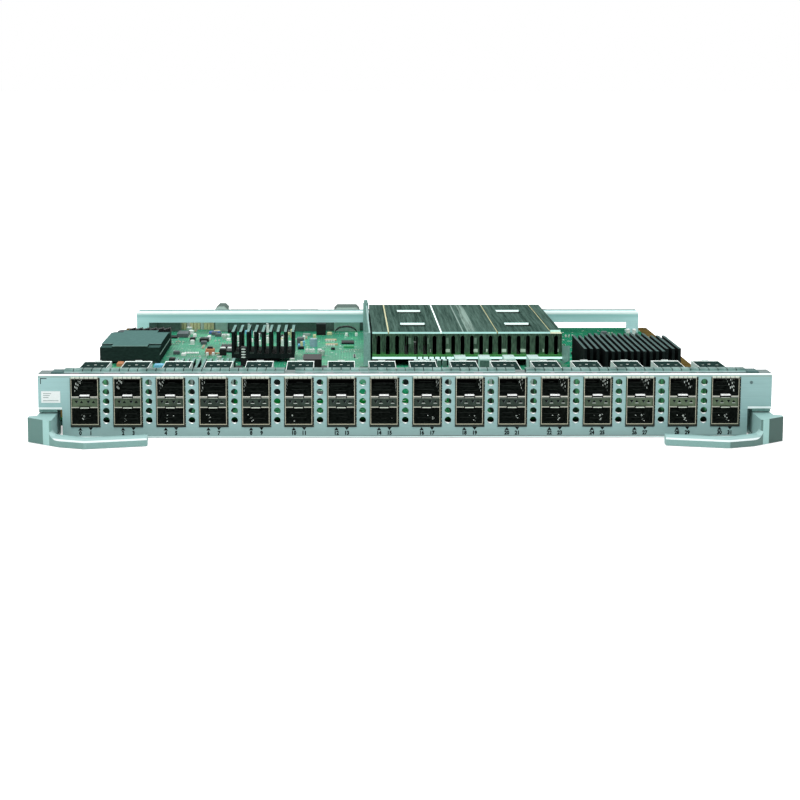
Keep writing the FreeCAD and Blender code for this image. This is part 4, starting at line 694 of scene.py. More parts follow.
class Build:
    """Collects faces of several finishes and makes one piece of them."""

    def __init__(self, name, slot, body="root"):
        self.name = name
        self.slot = slot
        self.body = body
        self.points = []
        self.faces = []
        self.marks = []
        self.finishes = []

    def add(self, points, faces, material):
        """Points and their faces, all of one finish."""
        start = len(self.points)
        self.points += points
        if material not in self.finishes:
            self.finishes.append(material)
        mark = self.finishes.index(material)
        for face in faces:
            self.faces.append(tuple(start + corner for corner in face))
            self.marks.append(mark)

    def quad(self, points, material):
        self.add(points, [tuple(range(len(points)))], material)

    def upright(self, x0, x1, y, z0, z1, material):
        """A standing rectangle that faces the front when x1 is the larger."""
        self.quad([(x0, y, z0), (x1, y, z0), (x1, y, z1), (x0, y, z1)], material)

    def flat(self, x0, x1, y0, y1, z, material):
        """A lying rectangle that faces up."""
        self.quad([(x0, y0, z), (x1, y0, z), (x1, y1, z), (x0, y1, z)], material)

    def box(self, x0, x1, y0, y1, z0, z1, material, bevel=0.0):
        """A block with its top edges cut back by the bevel."""
        levels = [(0.0, z0), (0.0, z1 - bevel)]
        if bevel > 0:
            levels.append((bevel, z1))
        points = []
        for b, z in levels:
            points += [(x0 + b, y0 + b, z), (x1 - b, y0 + b, z), (x1 - b, y1 - b, z), (x0 + b, y1 - b, z)]
        self.add(points, [(3, 2, 1, 0)] + ring_faces(len(levels), 4), material)
        self.quad(points[-4:], material)

    def rod(self, x, y, z0, z1, radius, material, sides=12, bevel=0.0, lid=None):
        """A standing round rod; the lid is the finish of its top."""
        points = []
        for height, reach in ((z0, radius), (z1 - bevel, radius), (z1, radius - bevel)):
            points += [(x + u, y + v, height) for u, v in circle(sides, reach)]
        self.add(points, ring_faces(3, sides), material)
        self.quad(points[2 * sides:], lid or material)

    def make(self):
        """One piece of all faces, on its body."""
        mesh = bpy.data.meshes.new(self.name)
        mesh.from_pydata([(x * MM, y * MM, z * MM) for x, y, z in self.points], [], self.faces)
        for material in self.finishes:
            mesh.materials.append(material)
        mesh.polygons.foreach_set("material_index", self.marks)
        mesh.update()
        piece = show(self.name, mesh)
        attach(piece, self.body)


def flat_text(words, height):
    """The faces of a short number, centred, in millimetres."""
    curve = bpy.data.curves.new("number", "FONT")
    curve.body = words
    curve.size = height / 0.7
    curve.offset = height * 0.075
    curve.align_x = "CENTER"
    curve.resolution_u = 3
    item = show("number", curve)
    bpy.context.view_layer.update()
    shape = item.evaluated_get(bpy.context.evaluated_depsgraph_get()).to_mesh()
    points = [(corner.co.x, corner.co.y) for corner in shape.vertices]
    faces = [tuple(face.vertices) for face in shape.polygons]
    item.to_mesh_clear()
    bpy.data.objects.remove(item)
    bpy.data.curves.remove(curve)
    return points, faces


def print_faceplate():
    """Port numbers, arrows and the corner mark."""
    ink = Build("faceplate_print", "faceplate_metal")
    y = FRONT - 0.04
    squeeze, half = 0.9, 1.2
    for number in range(2 * COLUMNS):
        column, lower = divmod(number, 2)
        x = port_x(column) + 0.1 + (2.9 if lower else -2.8)
        points, faces = flat_text(str(number), 2.05)
        ink.add([(x + u * squeeze, y, 1.95 + v) for u, v in points], faces, INK)
        if lower:
            ink.quad([(x, y, 4.45), (x + half, y, 6.05), (x - half, y, 6.05)], INK)
        else:
            ink.quad([(x - half, y, 4.35), (x + half, y, 4.35), (x, y, 6.1)], INK)
    ink.upright(-199.2, -195.6, y, 33.0, 33.4, INK)
    ink.upright(-199.2, -198.8, y, 30.2, 33.4, INK)
    ink.make()


def stick_label():
    """The label, with a few grey lines that say nothing."""
    label = Build("blank_label", "faceplate_metal")
    left, right, low, high = -198.8, -188.4, 19.8, 26.2
    label.box(left, right, FRONT - 0.12, FRONT, low, high, LABEL)
    front = FRONT - 0.14
    width = right - left
    for index, share in enumerate((0.52, 0.45, 0.38)):
        z = high - 1.1 - index * 1.1
        label.upright(left + width * 0.1, left + width * share, front, z - 0.35, z, LABEL_INK)
    label.upright(left + 1.0, right - 1.0, front, low + 1.0, low + 1.35, LABEL_INK)
    label.make()


def ring_vents():
    """A rolled rim in each vent hole, bright below with a painted highlight and dark on the left and above
    with painted shade.
    """
    rims = Build("vent_rims", "faceplate_metal")
    count = 24
    outer, inner = VENT_RADIUS + 0.42, VENT_RADIUS - 0.12
    lit_from, lit_to = 195, 320
    for column in range(COLUMNS - 1):
        x = port_x(column) + PITCH / 2
        for z in VENT_LEVELS:
            for index in range(count):
                ends = (2 * math.pi * index / count, 2 * math.pi * (index + 1) / count)
                middle = math.degrees(sum(ends) / 2)
                lit = lit_from < middle < lit_to
                glint = 0.4 * math.sin(math.pi * (middle - lit_from) / (lit_to - lit_from)) if lit else 0.0
                profile = ((outer, -0.03), (inner + 0.12, -0.04), (inner - glint, 0.4), (inner, 2.0))
                a, b = [[(x + reach * math.cos(turn), FRONT + depth, z + reach * math.sin(turn))
                         for reach, depth in profile] for turn in ends]
                # painted highlight on the lit lower sectors, painted shade on the others and in the bore
                rolled = METAL_BRIGHT if lit else HOLE if 80 < middle < 200 else RIM_DARK
                bore = METAL_BRIGHT if lit else HOLE
                for step, tone in enumerate((PAINTS["faceplate_metal"], rolled, bore)):
                    rims.quad([a[step], b[step], b[step + 1], a[step + 1]], tone)
    rims.make()


def add_latches(springs, centre):
    """The raised latch of the upper port and the duller one of the lower port."""
    y = CAGE_FRONT
    springs.box(centre - 2.6, centre + 2.6, y - 0.7, y + 1.5, 23.5, 24.3, METAL_BRIGHT, 0.2)
    # dark quads painted as the shade under the latches
    springs.quad([(centre - 3.2, y - 0.02, 22.3), (centre + 3.2, y - 0.02, 22.3),
                  (centre + 3.0, y - 0.02, 23.45), (centre - 3.0, y - 0.02, 23.45)], HOLE)
    springs.upright(centre - 2.5, centre + 2.5, y - 0.04, 22.25, 22.5, RIM_CREAM)
    springs.upright(centre - 3.0, centre + 3.0, y - 0.02, 16.7, 17.75, HOLE)
    springs.box(centre - 2.4, centre + 2.4, y - 0.45, y + 1.5, 16.75, 17.3, RIM_CREAM, 0.15)


def add_fingers(springs, centre):
    """Six small spring fingers over a cage, each with a dark notch beside it that is painted shade."""
    low, high = CAGE_TOP - 0.8, CAGE_TOP + 0.8
    for index in range(6):
        x = centre - 6.3 + index * 2.5
        left, right = x - 1.1, x + 1.1
        for step in range(4):
            turns = (math.pi * step / 4, math.pi * (step + 1) / 4)
            ya, yb = [FRONT - 0.05 - 0.55 * math.sin(turn) for turn in turns]
            za, zb = [low + (high - low) * (1 - math.cos(turn)) / 2 for turn in turns]
            tone = RIM_CREAM if step else RIM_GOLD
            springs.quad([(left, ya, za), (right, ya, za), (right, yb, zb), (left, yb, zb)], tone)
            springs.quad([(left, ya, za), (left, yb, zb), (left, FRONT, zb), (left, FRONT, za)], RIM_GOLD)
            springs.quad([(right, yb, zb), (right, ya, za), (right, FRONT, za), (right, FRONT, zb)], RIM_GOLD)
        # painted shade in the notch
        springs.upright(x + 1.0, x + 1.5, CAGE_FRONT - 0.08, low, low + 0.5, RIM_DARK)


def dress_windows():
    """Latches, spring fingers, a speckled seal and side rims at each window."""
    springs = Build("port_springs", "cage_metal")
    for column in range(COLUMNS):
        centre = port_x(column)
        add_latches(springs, centre)
        add_fingers(springs, centre)
        x = centre + HALF_CAGE
        springs.upright(x, x + 1.1, FRONT + 0.5, 6.2, 33.5, SPECKLE)
        for low, high in ((x + 0.55, x + 1.15), (centre - HALF_CAGE - 0.4, centre - HALF_CAGE - 0.05)):
            springs.upright(low, high, FRONT - 0.03, 6.0, 33.6, PAINTS["faceplate_metal"])
    springs.make()


def print_strips():
    """Small triangles on the strip between the ports, most of them underlined."""
    marks = Build("strip_marks", "strip_plastic")
    y = FRONT - 0.03
    half = 0.95
    for column in range(COLUMNS):
        for index, offset in enumerate((-4.6, -1.75, 1.85, 4.7)):
            x = port_x(column) + offset
            if index % 2:
                marks.quad([(x - half, y, 19.6), (x + half, y, 19.6), (x, y, 21.0)], INK)
                if column > 1:
                    marks.upright(x - half, x + half, y, 19.2, 19.45, METAL_TIN)
            else:
                marks.quad([(x, y, 19.5), (x + half, y, 20.95), (x - half, y, 20.95)], INK)
                marks.quad([(x + 0.05, y, 19.3), (x + 0.25, y, 19.3), (x + half + 0.2, y, 20.8),
                            (x + half, y, 20.95)], GREY_PART)
    marks.make()


def add_perforations(holes, centre, rng):
    """Slots in both side walls of an upper port, painted bright as light that shines through them."""
    for side in (-1, 1):
        x = centre + side * (HALF_PORT - 0.03)
        for row in range(8):
            depth = CAGE_FRONT + 13.0 + row * 4.6
            for level in range(4):
                z = 24.4 + level * 2.2 + (row % 2) * 1.1
                if z > 32.4 or rng.random() < 0.3 or level < row / 2.0 - 2.6:
                    continue
                size = rng.uniform(0.4, 0.65)
                tone = BRIGHT_SPOT_GLOW if rng.random() < 0.7 else DIM_SPOT_GLOW
                long = rng.uniform(0.9, 1.4)
                holes.quad([(x, depth - long, z - size), (x, depth + long, z - size),
                            (x, depth + long, z + size), (x, depth - long, z + size)][::side], tone)


def add_glints(holes, centre, rng):
    """Glints on the floor of a lower port, more of them towards both ends of the faceplate."""
    outward = 1 if centre > STRAIGHT_IN else -1
    for shift, depth in ((4.2, 29.0), (4.0, 26.5), (3.4, 25.5), (3.1, 21.5), (3.6, 18.5), (2.8, 15.5),
                         (2.0, 12.0), (2.6, 9.0), (0.6, 27.0), (5.6, 30.0)):
        if rng.random() > 0.2 + abs(centre - STRAIGHT_IN) / 210:
            continue
        x = centre + shift * outward + (1.2 if outward > 0 else 0.0)
        y = CAGE_FRONT + depth
        tone = DIM_SPOT_GLOW if rng.random() < 0.35 else BRIGHT_SPOT_GLOW
        holes.flat(x - 0.3, x + 0.3, y - 1.1, y + 1.1, LOWER_FLOOR + 0.06, tone)


def add_contacts(holes, centre, rng):
    """Contact rows in both ports, dim in the dark but lifted by a painted glow."""
    for low, high, count in ((UPPER_FLOOR, UPPER_ROOF, 5), (LOWER_FLOOR, LOWER_ROOF, 4)):
        for index in range(count):
            z = low + 0.9 + index * (high - low - 1.8) / (count - 1) + rng.uniform(-0.5, 0.5)
            start = centre - 6.0 + rng.uniform(0.0, 5.0)
            end = centre + 6.0 - rng.uniform(0.0, 5.0)
            holes.upright(start, end, CAGE_FRONT + 14.0 + index * 2.0, z, z + 0.3, CONTACT)


def dress_ports():
    """What shows inside the ports."""
    holes = Build("port_perforations", "cage_metal")
    rng = random.Random(7)
    for column in range(COLUMNS):
        for add in (add_perforations, add_glints, add_contacts):
            add(holes, port_x(column), rng)
    holes.make()


def dress_cage_tops():
    """Perforations, folded rear tabs and side edges on the cage tops; the tabs and edges get a painted
    highlight with a glow.
    """
    tops = Build("cage_top_details", "cage_metal")
    for column in range(COLUMNS):
        centre = port_x(column)
        for offset, depth in ((-3.9, 49.0), (0.0, 51.5), (4.1, 49.0), (-2.0, 36.0), (2.4, 38.0), (-5.2, 25.0),
                              (0.0, 23.0), (5.0, 26.0)):
            x, y = centre + offset, CAGE_FRONT + depth
            tone = TOP_DOT if offset else METAL_TIN
            tops.flat(x - 0.7, x + 0.7, y - 1.0, y + 1.0, CAGE_TOP + 0.02, tone)
        for side in (-1, 1):
            x = centre + side * (HALF_CAGE - 0.3)
            tops.box(x - 0.14, x + 0.14, CAGE_BACK - 48, CAGE_BACK - 0.4, CAGE_TOP - 0.02, CAGE_TOP + 0.1,
                     TOP_EDGE, 0.03)
        tops.box(centre - HALF_CAGE, centre + HALF_CAGE, CAGE_BACK - 1.0, CAGE_BACK, CAGE_TOP - 0.02,
                 CAGE_TOP + 0.25, TOP_EDGE, 0.1)
    tops.make()


SPREAD_OUT_NODES = (
    "circuit_board", "bottom_tray", "faceplate", "gasket_fingers", "gasket_pads", "board_standoffs",
    "board_screws", "coil_blocks", "filter_row", "round_capacitors", "port_chips", "memory_chips",
    "black_coils", "rear_rail", "heatsink_screws", "rail_screws", "bracket_rivets",
    "port_contact_blocks", "port_light_strips", "left_backplane_connectors",
    "right_backplane_connectors", "guide_modules", "power_module_pins",
)


def keep_out_boxes():
    """The plan boxes of all that stands on the board, each with its foot's height."""
    boxes = []
    for name, item in NODES.items():
        if name in SPREAD_OUT_NODES:
            boxes += solid_boxes(item)
        else:
            low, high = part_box(name)
            boxes.append((low.x / MM, high.x / MM, low.y / MM, high.y / MM, low.z / MM))
    return [box for box in boxes if box[4] < 12.0]


def solid_boxes(item):
    """The plan box of each separate solid of a node, without the widest ones."""
    mesh = item.data
    parent = list(range(len(mesh.vertices)))

    def root(index):
        while parent[index] != index:
            parent[index] = parent[parent[index]]
            index = parent[index]
        return index

    for edge in mesh.edges:
        a, b = root(edge.vertices[0]), root(edge.vertices[1])
        if a != b:
            parent[a] = b
    groups = {}
    for corner in mesh.vertices:
        groups.setdefault(root(corner.index), []).append(corner.co)
    boxes = []
    for points in groups.values():
        xs, ys, zs = [[part / MM for part in axis] for axis in zip(*points)]
        if max(xs) - min(xs) < 300:
            boxes.append((min(xs), max(xs), min(ys), max(ys), min(zs)))
    return boxes


def free(boxes, x, y, reach):
    """Whether a place keeps its distance from all boxes."""
    return all(not (low_x - reach < x < high_x + reach and low_y - reach < y < high_y + reach)
               for low_x, high_x, low_y, high_y, _ in boxes)


def add_chip(parts, x, y, width, length, height, body=None):
    """A chip with a row of legs along each side."""
    z = BOARD_TOP
    parts.box(x - width / 2, x + width / 2, y - length / 2, y + length / 2, z + 0.1, z + height,
              body or BLACK_PART, min(0.25, height / 3))
    count = max(3, int(length / 1.3))
    for index in range(count):
        along = y - length / 2 + (index + 0.5) * length / count
        for side in (-1, 1):
            edge = x + side * width / 2
            tip = edge + side * 0.9
            parts.box(min(edge, tip), max(edge, tip), along - 0.28, along + 0.28, z, z + 0.35, METAL_TIN)


def add_passive(parts, x, y, size, kind, turned):
    """A two-terminal part with bright ends."""
    z = BOARD_TOP
    half_long, half_wide = size / 2, size * 0.55 / 2
    tall = size * (0.5 if kind is not BLACK_PART else 0.3)
    end = size * 0.24
    edges = (-half_long, -half_long + end, half_long - end, half_long)
    for low, high, tone in zip(edges, edges[1:], (METAL_TIN, kind, METAL_TIN)):
        if turned:
            parts.box(x - half_wide, x + half_wide, y + low, y + high, z, z + tall, tone)
        else:
            parts.box(x + low, x + high, y - half_wide, y + half_wide, z, z + tall, tone)


def fill_board():
    """Several hundred small parts in seeded groups wherever the board is free."""
    rng = random.Random(23)
    boxes = keep_out_boxes()
    parts = Build("board_small_parts", "chip_black")
    pads = Build("board_pads", "board_green")
    kinds = [BEIGE, BEIGE, BLACK_PART, BLACK_PART, GREY_PART, WHITE_PAD, CREAM]
    z = BOARD_TOP
    placed = []
    for _ in range(420):
        x, y = rng.uniform(-190, 190), rng.uniform(-145, 205)
        if not free(boxes, x, y, 4.5) or not free(placed, x, y, 4.0):
            continue
        draw = rng.random()
        if draw < 0.22:
            width, length = rng.choice(((5, 6.5), (4, 4), (7, 7), (3.5, 5), (6, 9)))
            add_chip(parts, x, y, width, length, rng.uniform(0.9, 1.6))
            placed.append((x - width / 2, x + width / 2, y - length / 2, y + length / 2, 0))
        elif draw < 0.3:
            parts.rod(x, y, z, z + rng.uniform(3.0, 4.5), 1.9, METAL_TIN, 14, 0.3, GREY_PART)
            placed.append((x - 2, x + 2, y - 2, y + 2, 0))
        elif draw < 0.4:
            parts.box(x - 2.2, x + 2.2, y - 2.2, y + 2.2, z, z + 2.4, GREY_PART, 0.5)
            placed.append((x - 2.4, x + 2.4, y - 2.4, y + 2.4, 0))
        else:
            kind = rng.choice(kinds)
            turned = rng.random() < 0.5
            count = rng.randint(2, 6)
            size = rng.choice((1.0, 1.6, 2.0))
            for index in range(count):
                step = index * size * 1.25
                right, back = (step, 0) if turned else (0, step)
                add_passive(parts, x + right, y + back, size, kind, turned)
            reach = 1 + count * size * 1.25
            placed.append((x - 1, x + (reach if turned else 1), y - 1, y + (1 if turned else reach), 0))
    for _ in range(1300):
        x, y = rng.uniform(-192, 192), rng.uniform(-145, 210)
        if free(boxes, x, y, 1.0):
            long, wide = rng.choice(((0.9, 0.5), (0.6, 0.6), (1.6, 0.4), (0.4, 1.8)))
            tone = rng.choice((METAL_TIN, METAL_TIN, WHITE_PAD, GREEN_PART))
            pads.flat(x - long, x + long, y - wide, y + wide, z + 0.03, tone)
    parts.make()
    pads.make()


def ground(u, v):
    """The place on the board under a point of the view, in its columns and rows."""
    slope = (v - HORIZON_ROW) / ROW_SCALE
    drop = CAMERA_Z - BOARD_TOP
    depth = drop * (1 - TILT_TAN * slope) / slope
    across = (u - MIDDLE_COLUMN) * (TILT_COS * depth + TILT_SIN * drop) / FOCAL_PIXELS
    return across + TURN_TAN * depth + CAMERA_X, depth + CAMERA_Y


def span(u0, u1, v):
    """The stretch on the board between two columns of the view."""
    x0, y = ground(u0, v)
    x1, _ = ground(u1, v)
    return x0, x1, y


class Seen(Build):
    """Parts on the board that are placed by where they show in the view."""

    def block(self, u, v, width, depth, tall, tone, bevel=0.35):
        """A block whose front foot has its middle there."""
        x, y = ground(u, v)
        self.box(x - width / 2, x + width / 2, y, y + depth, BOARD_TOP, BOARD_TOP + tall, tone, bevel)

    def bar(self, u0, u1, v, depth, tall, tone, bevel=0.35):
        """A block that reaches from one column to another."""
        x0, x1, y = span(u0, u1, v)
        self.box(x0, x1, y, y + depth, BOARD_TOP, BOARD_TOP + tall, tone, bevel)

    def can(self, u, v, tall, radius, tone=WHITE_PAD, sides=12, bevel=0.4):
        """A round part that stands there."""
        x, y = ground(u, v)
        self.rod(x, y, BOARD_TOP, BOARD_TOP + tall, radius, tone, sides, bevel)

    def chip(self, u0, u1, v, length, tall, tone):
        """A chip that reaches from one column to another."""
        x0, x1, y = span(u0, u1, v)
        add_chip(self, (x0 + x1) / 2, y + length / 2, x1 - x0, length, tall, tone)


# Where single parts show in the view: first column, last column and the row of the front foot.
PACKAGE_SEEN = (176, 187, 337.5)
CREAM_ROW_SEEN = (179, 217, 329.5)
BLUE_CHIP_SEEN = (208, 219, 334)
ORANGE_BLOCK_SEEN = (204.5, 213.5, 355)
FEET_COLUMNS, FEET_ROW = (205.5, 211.5), 357
WHITE_TEETH_SEEN = (183.5, 198, 354)
BEIGE_BAR_SEEN = (214, 221, 354)
WHITE_BARS_SEEN = ((219, 224.5, 349), (226.5, 231.5, 349))
PAD_COLUMNS, PAD_ROWS = (325.5, 328, 330.5, 333), (341.5, 346.2)
POST_COLUMNS, POST_ROW = (307.7, 311.6), 331
LOW_CAN_COLUMNS, LOW_CAN_ROW = (306, 309.5, 312.5, 318, 319.5), 352.5
HIGH_CAN_COLUMNS, HIGH_CAN_ROW = (345.5, 355.5), 336
WIRE_SEEN = (334, 356, 335)
STUD_COLUMNS, STUD_ROW = (627.5, 633.5), 333.5
SPOTTED_BAR_SEEN = (239.7, 245.3, 366.5)

# Round parts: column, row, width and height.
WHITE_CANS = ((190.5, 334, 3.2, 3.0), (194, 337, 2.4, 2.6), (191.5, 344.5, 2.6, 3.4), (188.5, 330, 3.6, 2.4))

# Blocks: column, row, width, depth, height and finish.
LEFT_BLOCKS = (
    (191.5, 341, 4.0, 5, 2.4, BLACK_PART), (203, 342, 6.5, 8, 2.6, BLACK_PART),
    (208, 340, 2.5, 6, 2.8, WHITE_PAD), (222, 355.5, 4.6, 4.5, 4.6, BLACK_PART),
    (224.5, 336.5, 6.0, 4, 1.6, WHITE_PAD), (227.5, 341, 3.0, 4, 1.8, WHITE_PAD),
    (229, 333, 3.0, 3, 2.5, BLACK_PART), (216, 333, 5.0, 3, 2.0, CREAM),
    (182.5, 356, 3.0, 5, 1.8, WHITE_PAD), (171, 362.5, 4.0, 6, 3.0, BLACK_PART),
)
BRICK_NEIGHBOURS = (
    (119, 366.5, 4.4, 8, 2.6, ORANGE), (116, 371, 9.0, 6, 2.2, GREEN_PART),
    (158, 371, 6.6, 6, 4.4, CYAN), (166, 371, 5.0, 6, 3.0, GREY_PART),
)

# Bars: first column, last column, row, depth, height and finish.
MIDDLE_BARS = (
    (296, 303, 345, 8, 5.0, GREY_PART), (296.5, 316, 331, 5, 6.5, GREY_PART),
    (297, 303, 349.5, 4, 2.0, BLACK_PART), (312, 315, 339, 4, 3, CREAM),
    (324, 335.5, 340.8, 4, 1.0, BEIGE), (324.5, 337, 345.4, 4, 1.0, BEIGE),
    (330, 334, 350, 3, 1.5, BLACK_PART), (326, 331, 335, 3, 2.0, CREAM),
    (342.5, 353, 348, 4, 1.4, GREEN_PART),
)


def place_left_parts(parts):
    """Package, connector rows and neighbours, left of the finned heatsink."""
    z = BOARD_TOP
    parts.chip(*PACKAGE_SEEN, 18, 3.0, GREY_PART)
    for u, v, width, tall in WHITE_CANS:
        parts.can(u, v, tall, width * 0.62)
    x0, x1, y = span(*CREAM_ROW_SEEN)
    for index in range(11):
        width = (x1 - x0) / 11
        left = x0 + index * width
        tone = CREAM if index not in (2, 6) else METAL_TIN
        parts.box(left, left + width * 0.86, y, y + 9, z, z + 6.2, tone, 0.4)
        parts.box(left + width * 0.3, left + width * 0.55, y - 0.2, y + 2.0, z + 5.2, z + 7.6, BEIGE)
    parts.chip(*BLUE_CHIP_SEEN, 8, 1.6, BLUE)
    for block in LEFT_BLOCKS:
        parts.block(*block)
    x0, x1, y = span(*ORANGE_BLOCK_SEEN)
    parts.box(x0, x1, y, y + 6, z, z + 4.2, ORANGE, 0.5)
    parts.box(x0 + 1.2, x1 - 1.2, y + 1.5, y + 4.5, z + 4.2, z + 5.6, BLACK_PART, 0.3)
    parts.box(x0 + 1.5, x1 - 1.5, y + 4.8, y + 6.4, z + 4.2, z + 5.4, CREAM, 0.3)
    for u in FEET_COLUMNS:
        x, _ = ground(u, FEET_ROW)
        parts.box(x - 0.9, x + 0.9, y - 2.4, y - 0.2, z, z + 2.2, WHITE_PAD, 0.3)
    x0, x1, y = span(*WHITE_TEETH_SEEN)
    for index in range(9):
        left = x0 + index * (x1 - x0) / 9
        parts.box(left, left + 0.8, y, y + 5.0, z, z + 0.9, WHITE_PAD)
    parts.bar(*BEIGE_BAR_SEEN, 2.5, 0.8, BEIGE, 0.2)
    for seen in WHITE_BARS_SEEN:
        parts.bar(*seen, 4.5, 1.2, WHITE_PAD, 0.3)


def place_middle_parts(parts):
    """Blocks, pins and cans between the left heatsink and the covered one."""
    z = BOARD_TOP
    for bar in MIDDLE_BARS:
        parts.bar(*bar)
    for u in PAD_COLUMNS:
        for v in PAD_ROWS:
            x, y = ground(u, v)
            parts.box(x - 0.7, x + 0.7, y - 1.2, y, z, z + 1.2, METAL_BRIGHT)
    for u in POST_COLUMNS:
        x, y = ground(u, POST_ROW)
        parts.rod(x, y + 2.5, z + 6.0, z + 8.5, 1.4, CREAM, 12, 0.4)
    for u in LOW_CAN_COLUMNS:
        parts.can(u, LOW_CAN_ROW, 2.6, 1.1, WHITE_PAD, 10)
    for u in HIGH_CAN_COLUMNS:
        parts.can(u, HIGH_CAN_ROW, 2.4, 1.1, WHITE_PAD, 10)


def place_wire(parts):
    """Dark looped wire in front of the rail."""
    x0, x1, y = span(*WIRE_SEEN)
    around = [(-0.7, 0), (0, 0.7), (0.7, 0), (0, -0.7), (-0.7, 0)]
    middle, half = (x0 + x1) / 2, (x1 - x0) / 2
    previous = None
    for index in range(17):
        turn = math.pi * index / 16
        point = (middle - half * math.cos(turn), y + 6, BOARD_TOP + 1.0 + 4.6 * math.sin(turn))
        if previous:
            for du, dv in zip(around, around[1:]):
                parts.quad([(x, y + dy, z + dz) for (x, y, z), (dy, dz) in (
                    (previous, du), (point, du), (point, dv), (previous, dv))], BLACK_PART)
        previous = point


def place_right_parts(parts):
    """Bright parts between fins, studs, strips, blocks behind the vents and the brick's neighbours."""
    z = BOARD_TOP
    rng = random.Random(5)
    for _ in range(38):
        x, y = rng.uniform(-116.0, -60.0), rng.uniform(100.0, 200.0)
        tone = rng.choice((WHITE_PAD, WHITE_PAD, CREAM, CYAN, METAL_BRIGHT))
        parts.box(x - 0.9, x + 0.9, y - 1.5, y + 1.5, z, z + rng.uniform(2.0, 6.5), tone, 0.3)
    for u in STUD_COLUMNS:
        parts.can(u, STUD_ROW, 3.4, 1.5, METAL_BRIGHT, 12, 0.5)
    parts.box(-131.0, 113.0, 206.0, 213.0, z, z + 9.4, PAINTS["connector_plastic"], 0.5)
    parts.box(-184.0, -174.0, 199.0, 205.0, z, z + 10.4, PAINTS["connector_plastic"], 0.5)
    boxes = keep_out_boxes()
    for y, row in ((-107.0, (-73.9, -48.0, 29.9, 55.9, 81.8)), (-68.0, (-75.2, -48.4, 7.0, 33.0))):
        for x in row:
            if free(boxes, x, y + 4.0, 4.5):
                parts.box(x - 3.4, x + 3.4, y, y + 8.0, z, z + 4.2, BLACK_PART, 0.4)
    parts.bar(*SPOTTED_BAR_SEEN, 7.0, 12.9, BLACK_PART, 0.5)
    x0, x1, y = span(*SPOTTED_BAR_SEEN)
    middle = (x0 + x1) / 2
    for index in range(4):
        low = z + 6.2 + index * 1.8
        parts.quad([(middle + 1.5 * u, y - 0.05, low + 0.5 * v) for u, v in circle(12, 1.0)], WHITE_PAD)
    for block in BRICK_NEIGHBOURS:
        parts.block(*block, 0.6)


def place_seen_parts():
    """The parts that stand out on the board, each where it is seen from the front."""
    parts = Seen("board_named_parts", "chip_black")
    for place in (place_left_parts, place_middle_parts, place_wire, place_right_parts):
        place(parts)
    parts.make()


def make_module_neighbours():
    """Grey domed part and toothed black strip behind the power module."""
    back = Build("module_neighbours", "module_black")
    z = BOARD_TOP
    x, y, radius, top = -190.5, 126.0, 5.5, 17.2
    rings, sides = 8, 28
    points = []
    for ring in range(rings):
        turn = math.pi / 2 * ring / (rings - 1)
        reach = radius * math.cos(turn) ** 0.6 if ring < rings - 1 else 0.4
        points += [(x + u, y + 0.6 * v, top - 4.0 + 4.0 * math.sin(turn)) for u, v in circle(sides, reach)]
    back.add(points, ring_faces(rings, sides), GREY_PART)
    back.rod(x, y, z, top - 3.9, radius * 0.75, BLACK_PART, 20)
    for index in range(24):
        x = -186.0 + index * 1.25
        back.box(x, x + 0.85, 117.0, 123.0, z, 18.4 + (index * 5 % 4) * 0.35, BLACK_PART, 0.15)
    back.box(-186.5, -156.5, 118.0, 127.0, z, 18.0, BLACK_PART, 0.5)
    back.make()


def dress_lever(side, name):
    """The head of the pivot pin on each lever."""
    trim = Build(f"{name}_trim", "lever_paint", name)
    trim.rod(side * PIN_X, PIN_Y, PIN_TOP, PIN_TOP + 0.25, 4.2, PAINTS["screw_metal"], 24, 0.1)
    trim.make()


def dress_heatsink():
    """Window edges and one slot bottom that glow white as painted light, and the other slot bottoms of the
    cover plates.
    """
    trim = Build("heatsink_trim", "fin_metal")
    low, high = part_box("heatsink_covers")
    left, front, back, top = low.x / MM, low.y / MM, high.y / MM, high.z / MM
    width = (high.x - low.x) / MM
    for share in (0.224, 0.792):
        for middle in (40.0, 117.0):
            x = left + width * share
            y = front + middle
            trim.box(x - 8.4, x + 8.4, y + 9.2, y + 9.95, top - 1.3, top - 0.1, WINDOW_GLOW, 0.1)
    edge = left
    for share, start, sunk, tone in ((0.081, 0.4, 0.05, CREAM), (0.269, 0.4, 0.0, WINDOW_GLOW),
                                     (0.2887, 0.4, 0.4, SLOT_GOLD), (0.2746, 10.5, 0.4, SLOT_GOLD)):
        edge += width * share
        trim.box(edge + 0.05, edge + 0.95, front + start, back - 0.4, top - 1.1, top - sunk, tone)
        edge += 1.0
    trim.make()


def dress_rear():
    """Contact slots on the backplane connectors: dark quads of painted shade round gold contacts."""
    rear = Build("backplane_slots", "connector_plastic")
    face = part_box("right_backplane_connectors")[1].y / MM
    for first, count in ((-109.0, 3), (-4.0, 6)):
        for plug in range(count):
            centre = first + plug * PLUG_PITCH
            for column in range(10):
                x = centre - 9.0 + column * 2.0
                for row in range(6):
                    z = 8.0 + row * 2.2
                    rear.upright(x + 0.55, x - 0.55, face + 0.03, z - 0.55, z + 0.55, HOLE)
                    rear.upright(x + 0.2, x - 0.2, face + 0.05, z - 0.35, z + 0.35, RIM_GOLD)
    rear.make()


print_faceplate()
stick_label()
ring_vents()
dress_windows()
print_strips()
dress_ports()
dress_cage_tops()
fill_board()
place_seen_parts()
make_module_neighbours()
dress_lever(-1, "left_ejector")
dress_lever(1, "right_ejector")
dress_heatsink()
dress_rear()


def larger(tree, first, second):
    """The larger of two values."""
    return add_node(tree, "Math", first, second, operation="MAXIMUM").outputs[0]


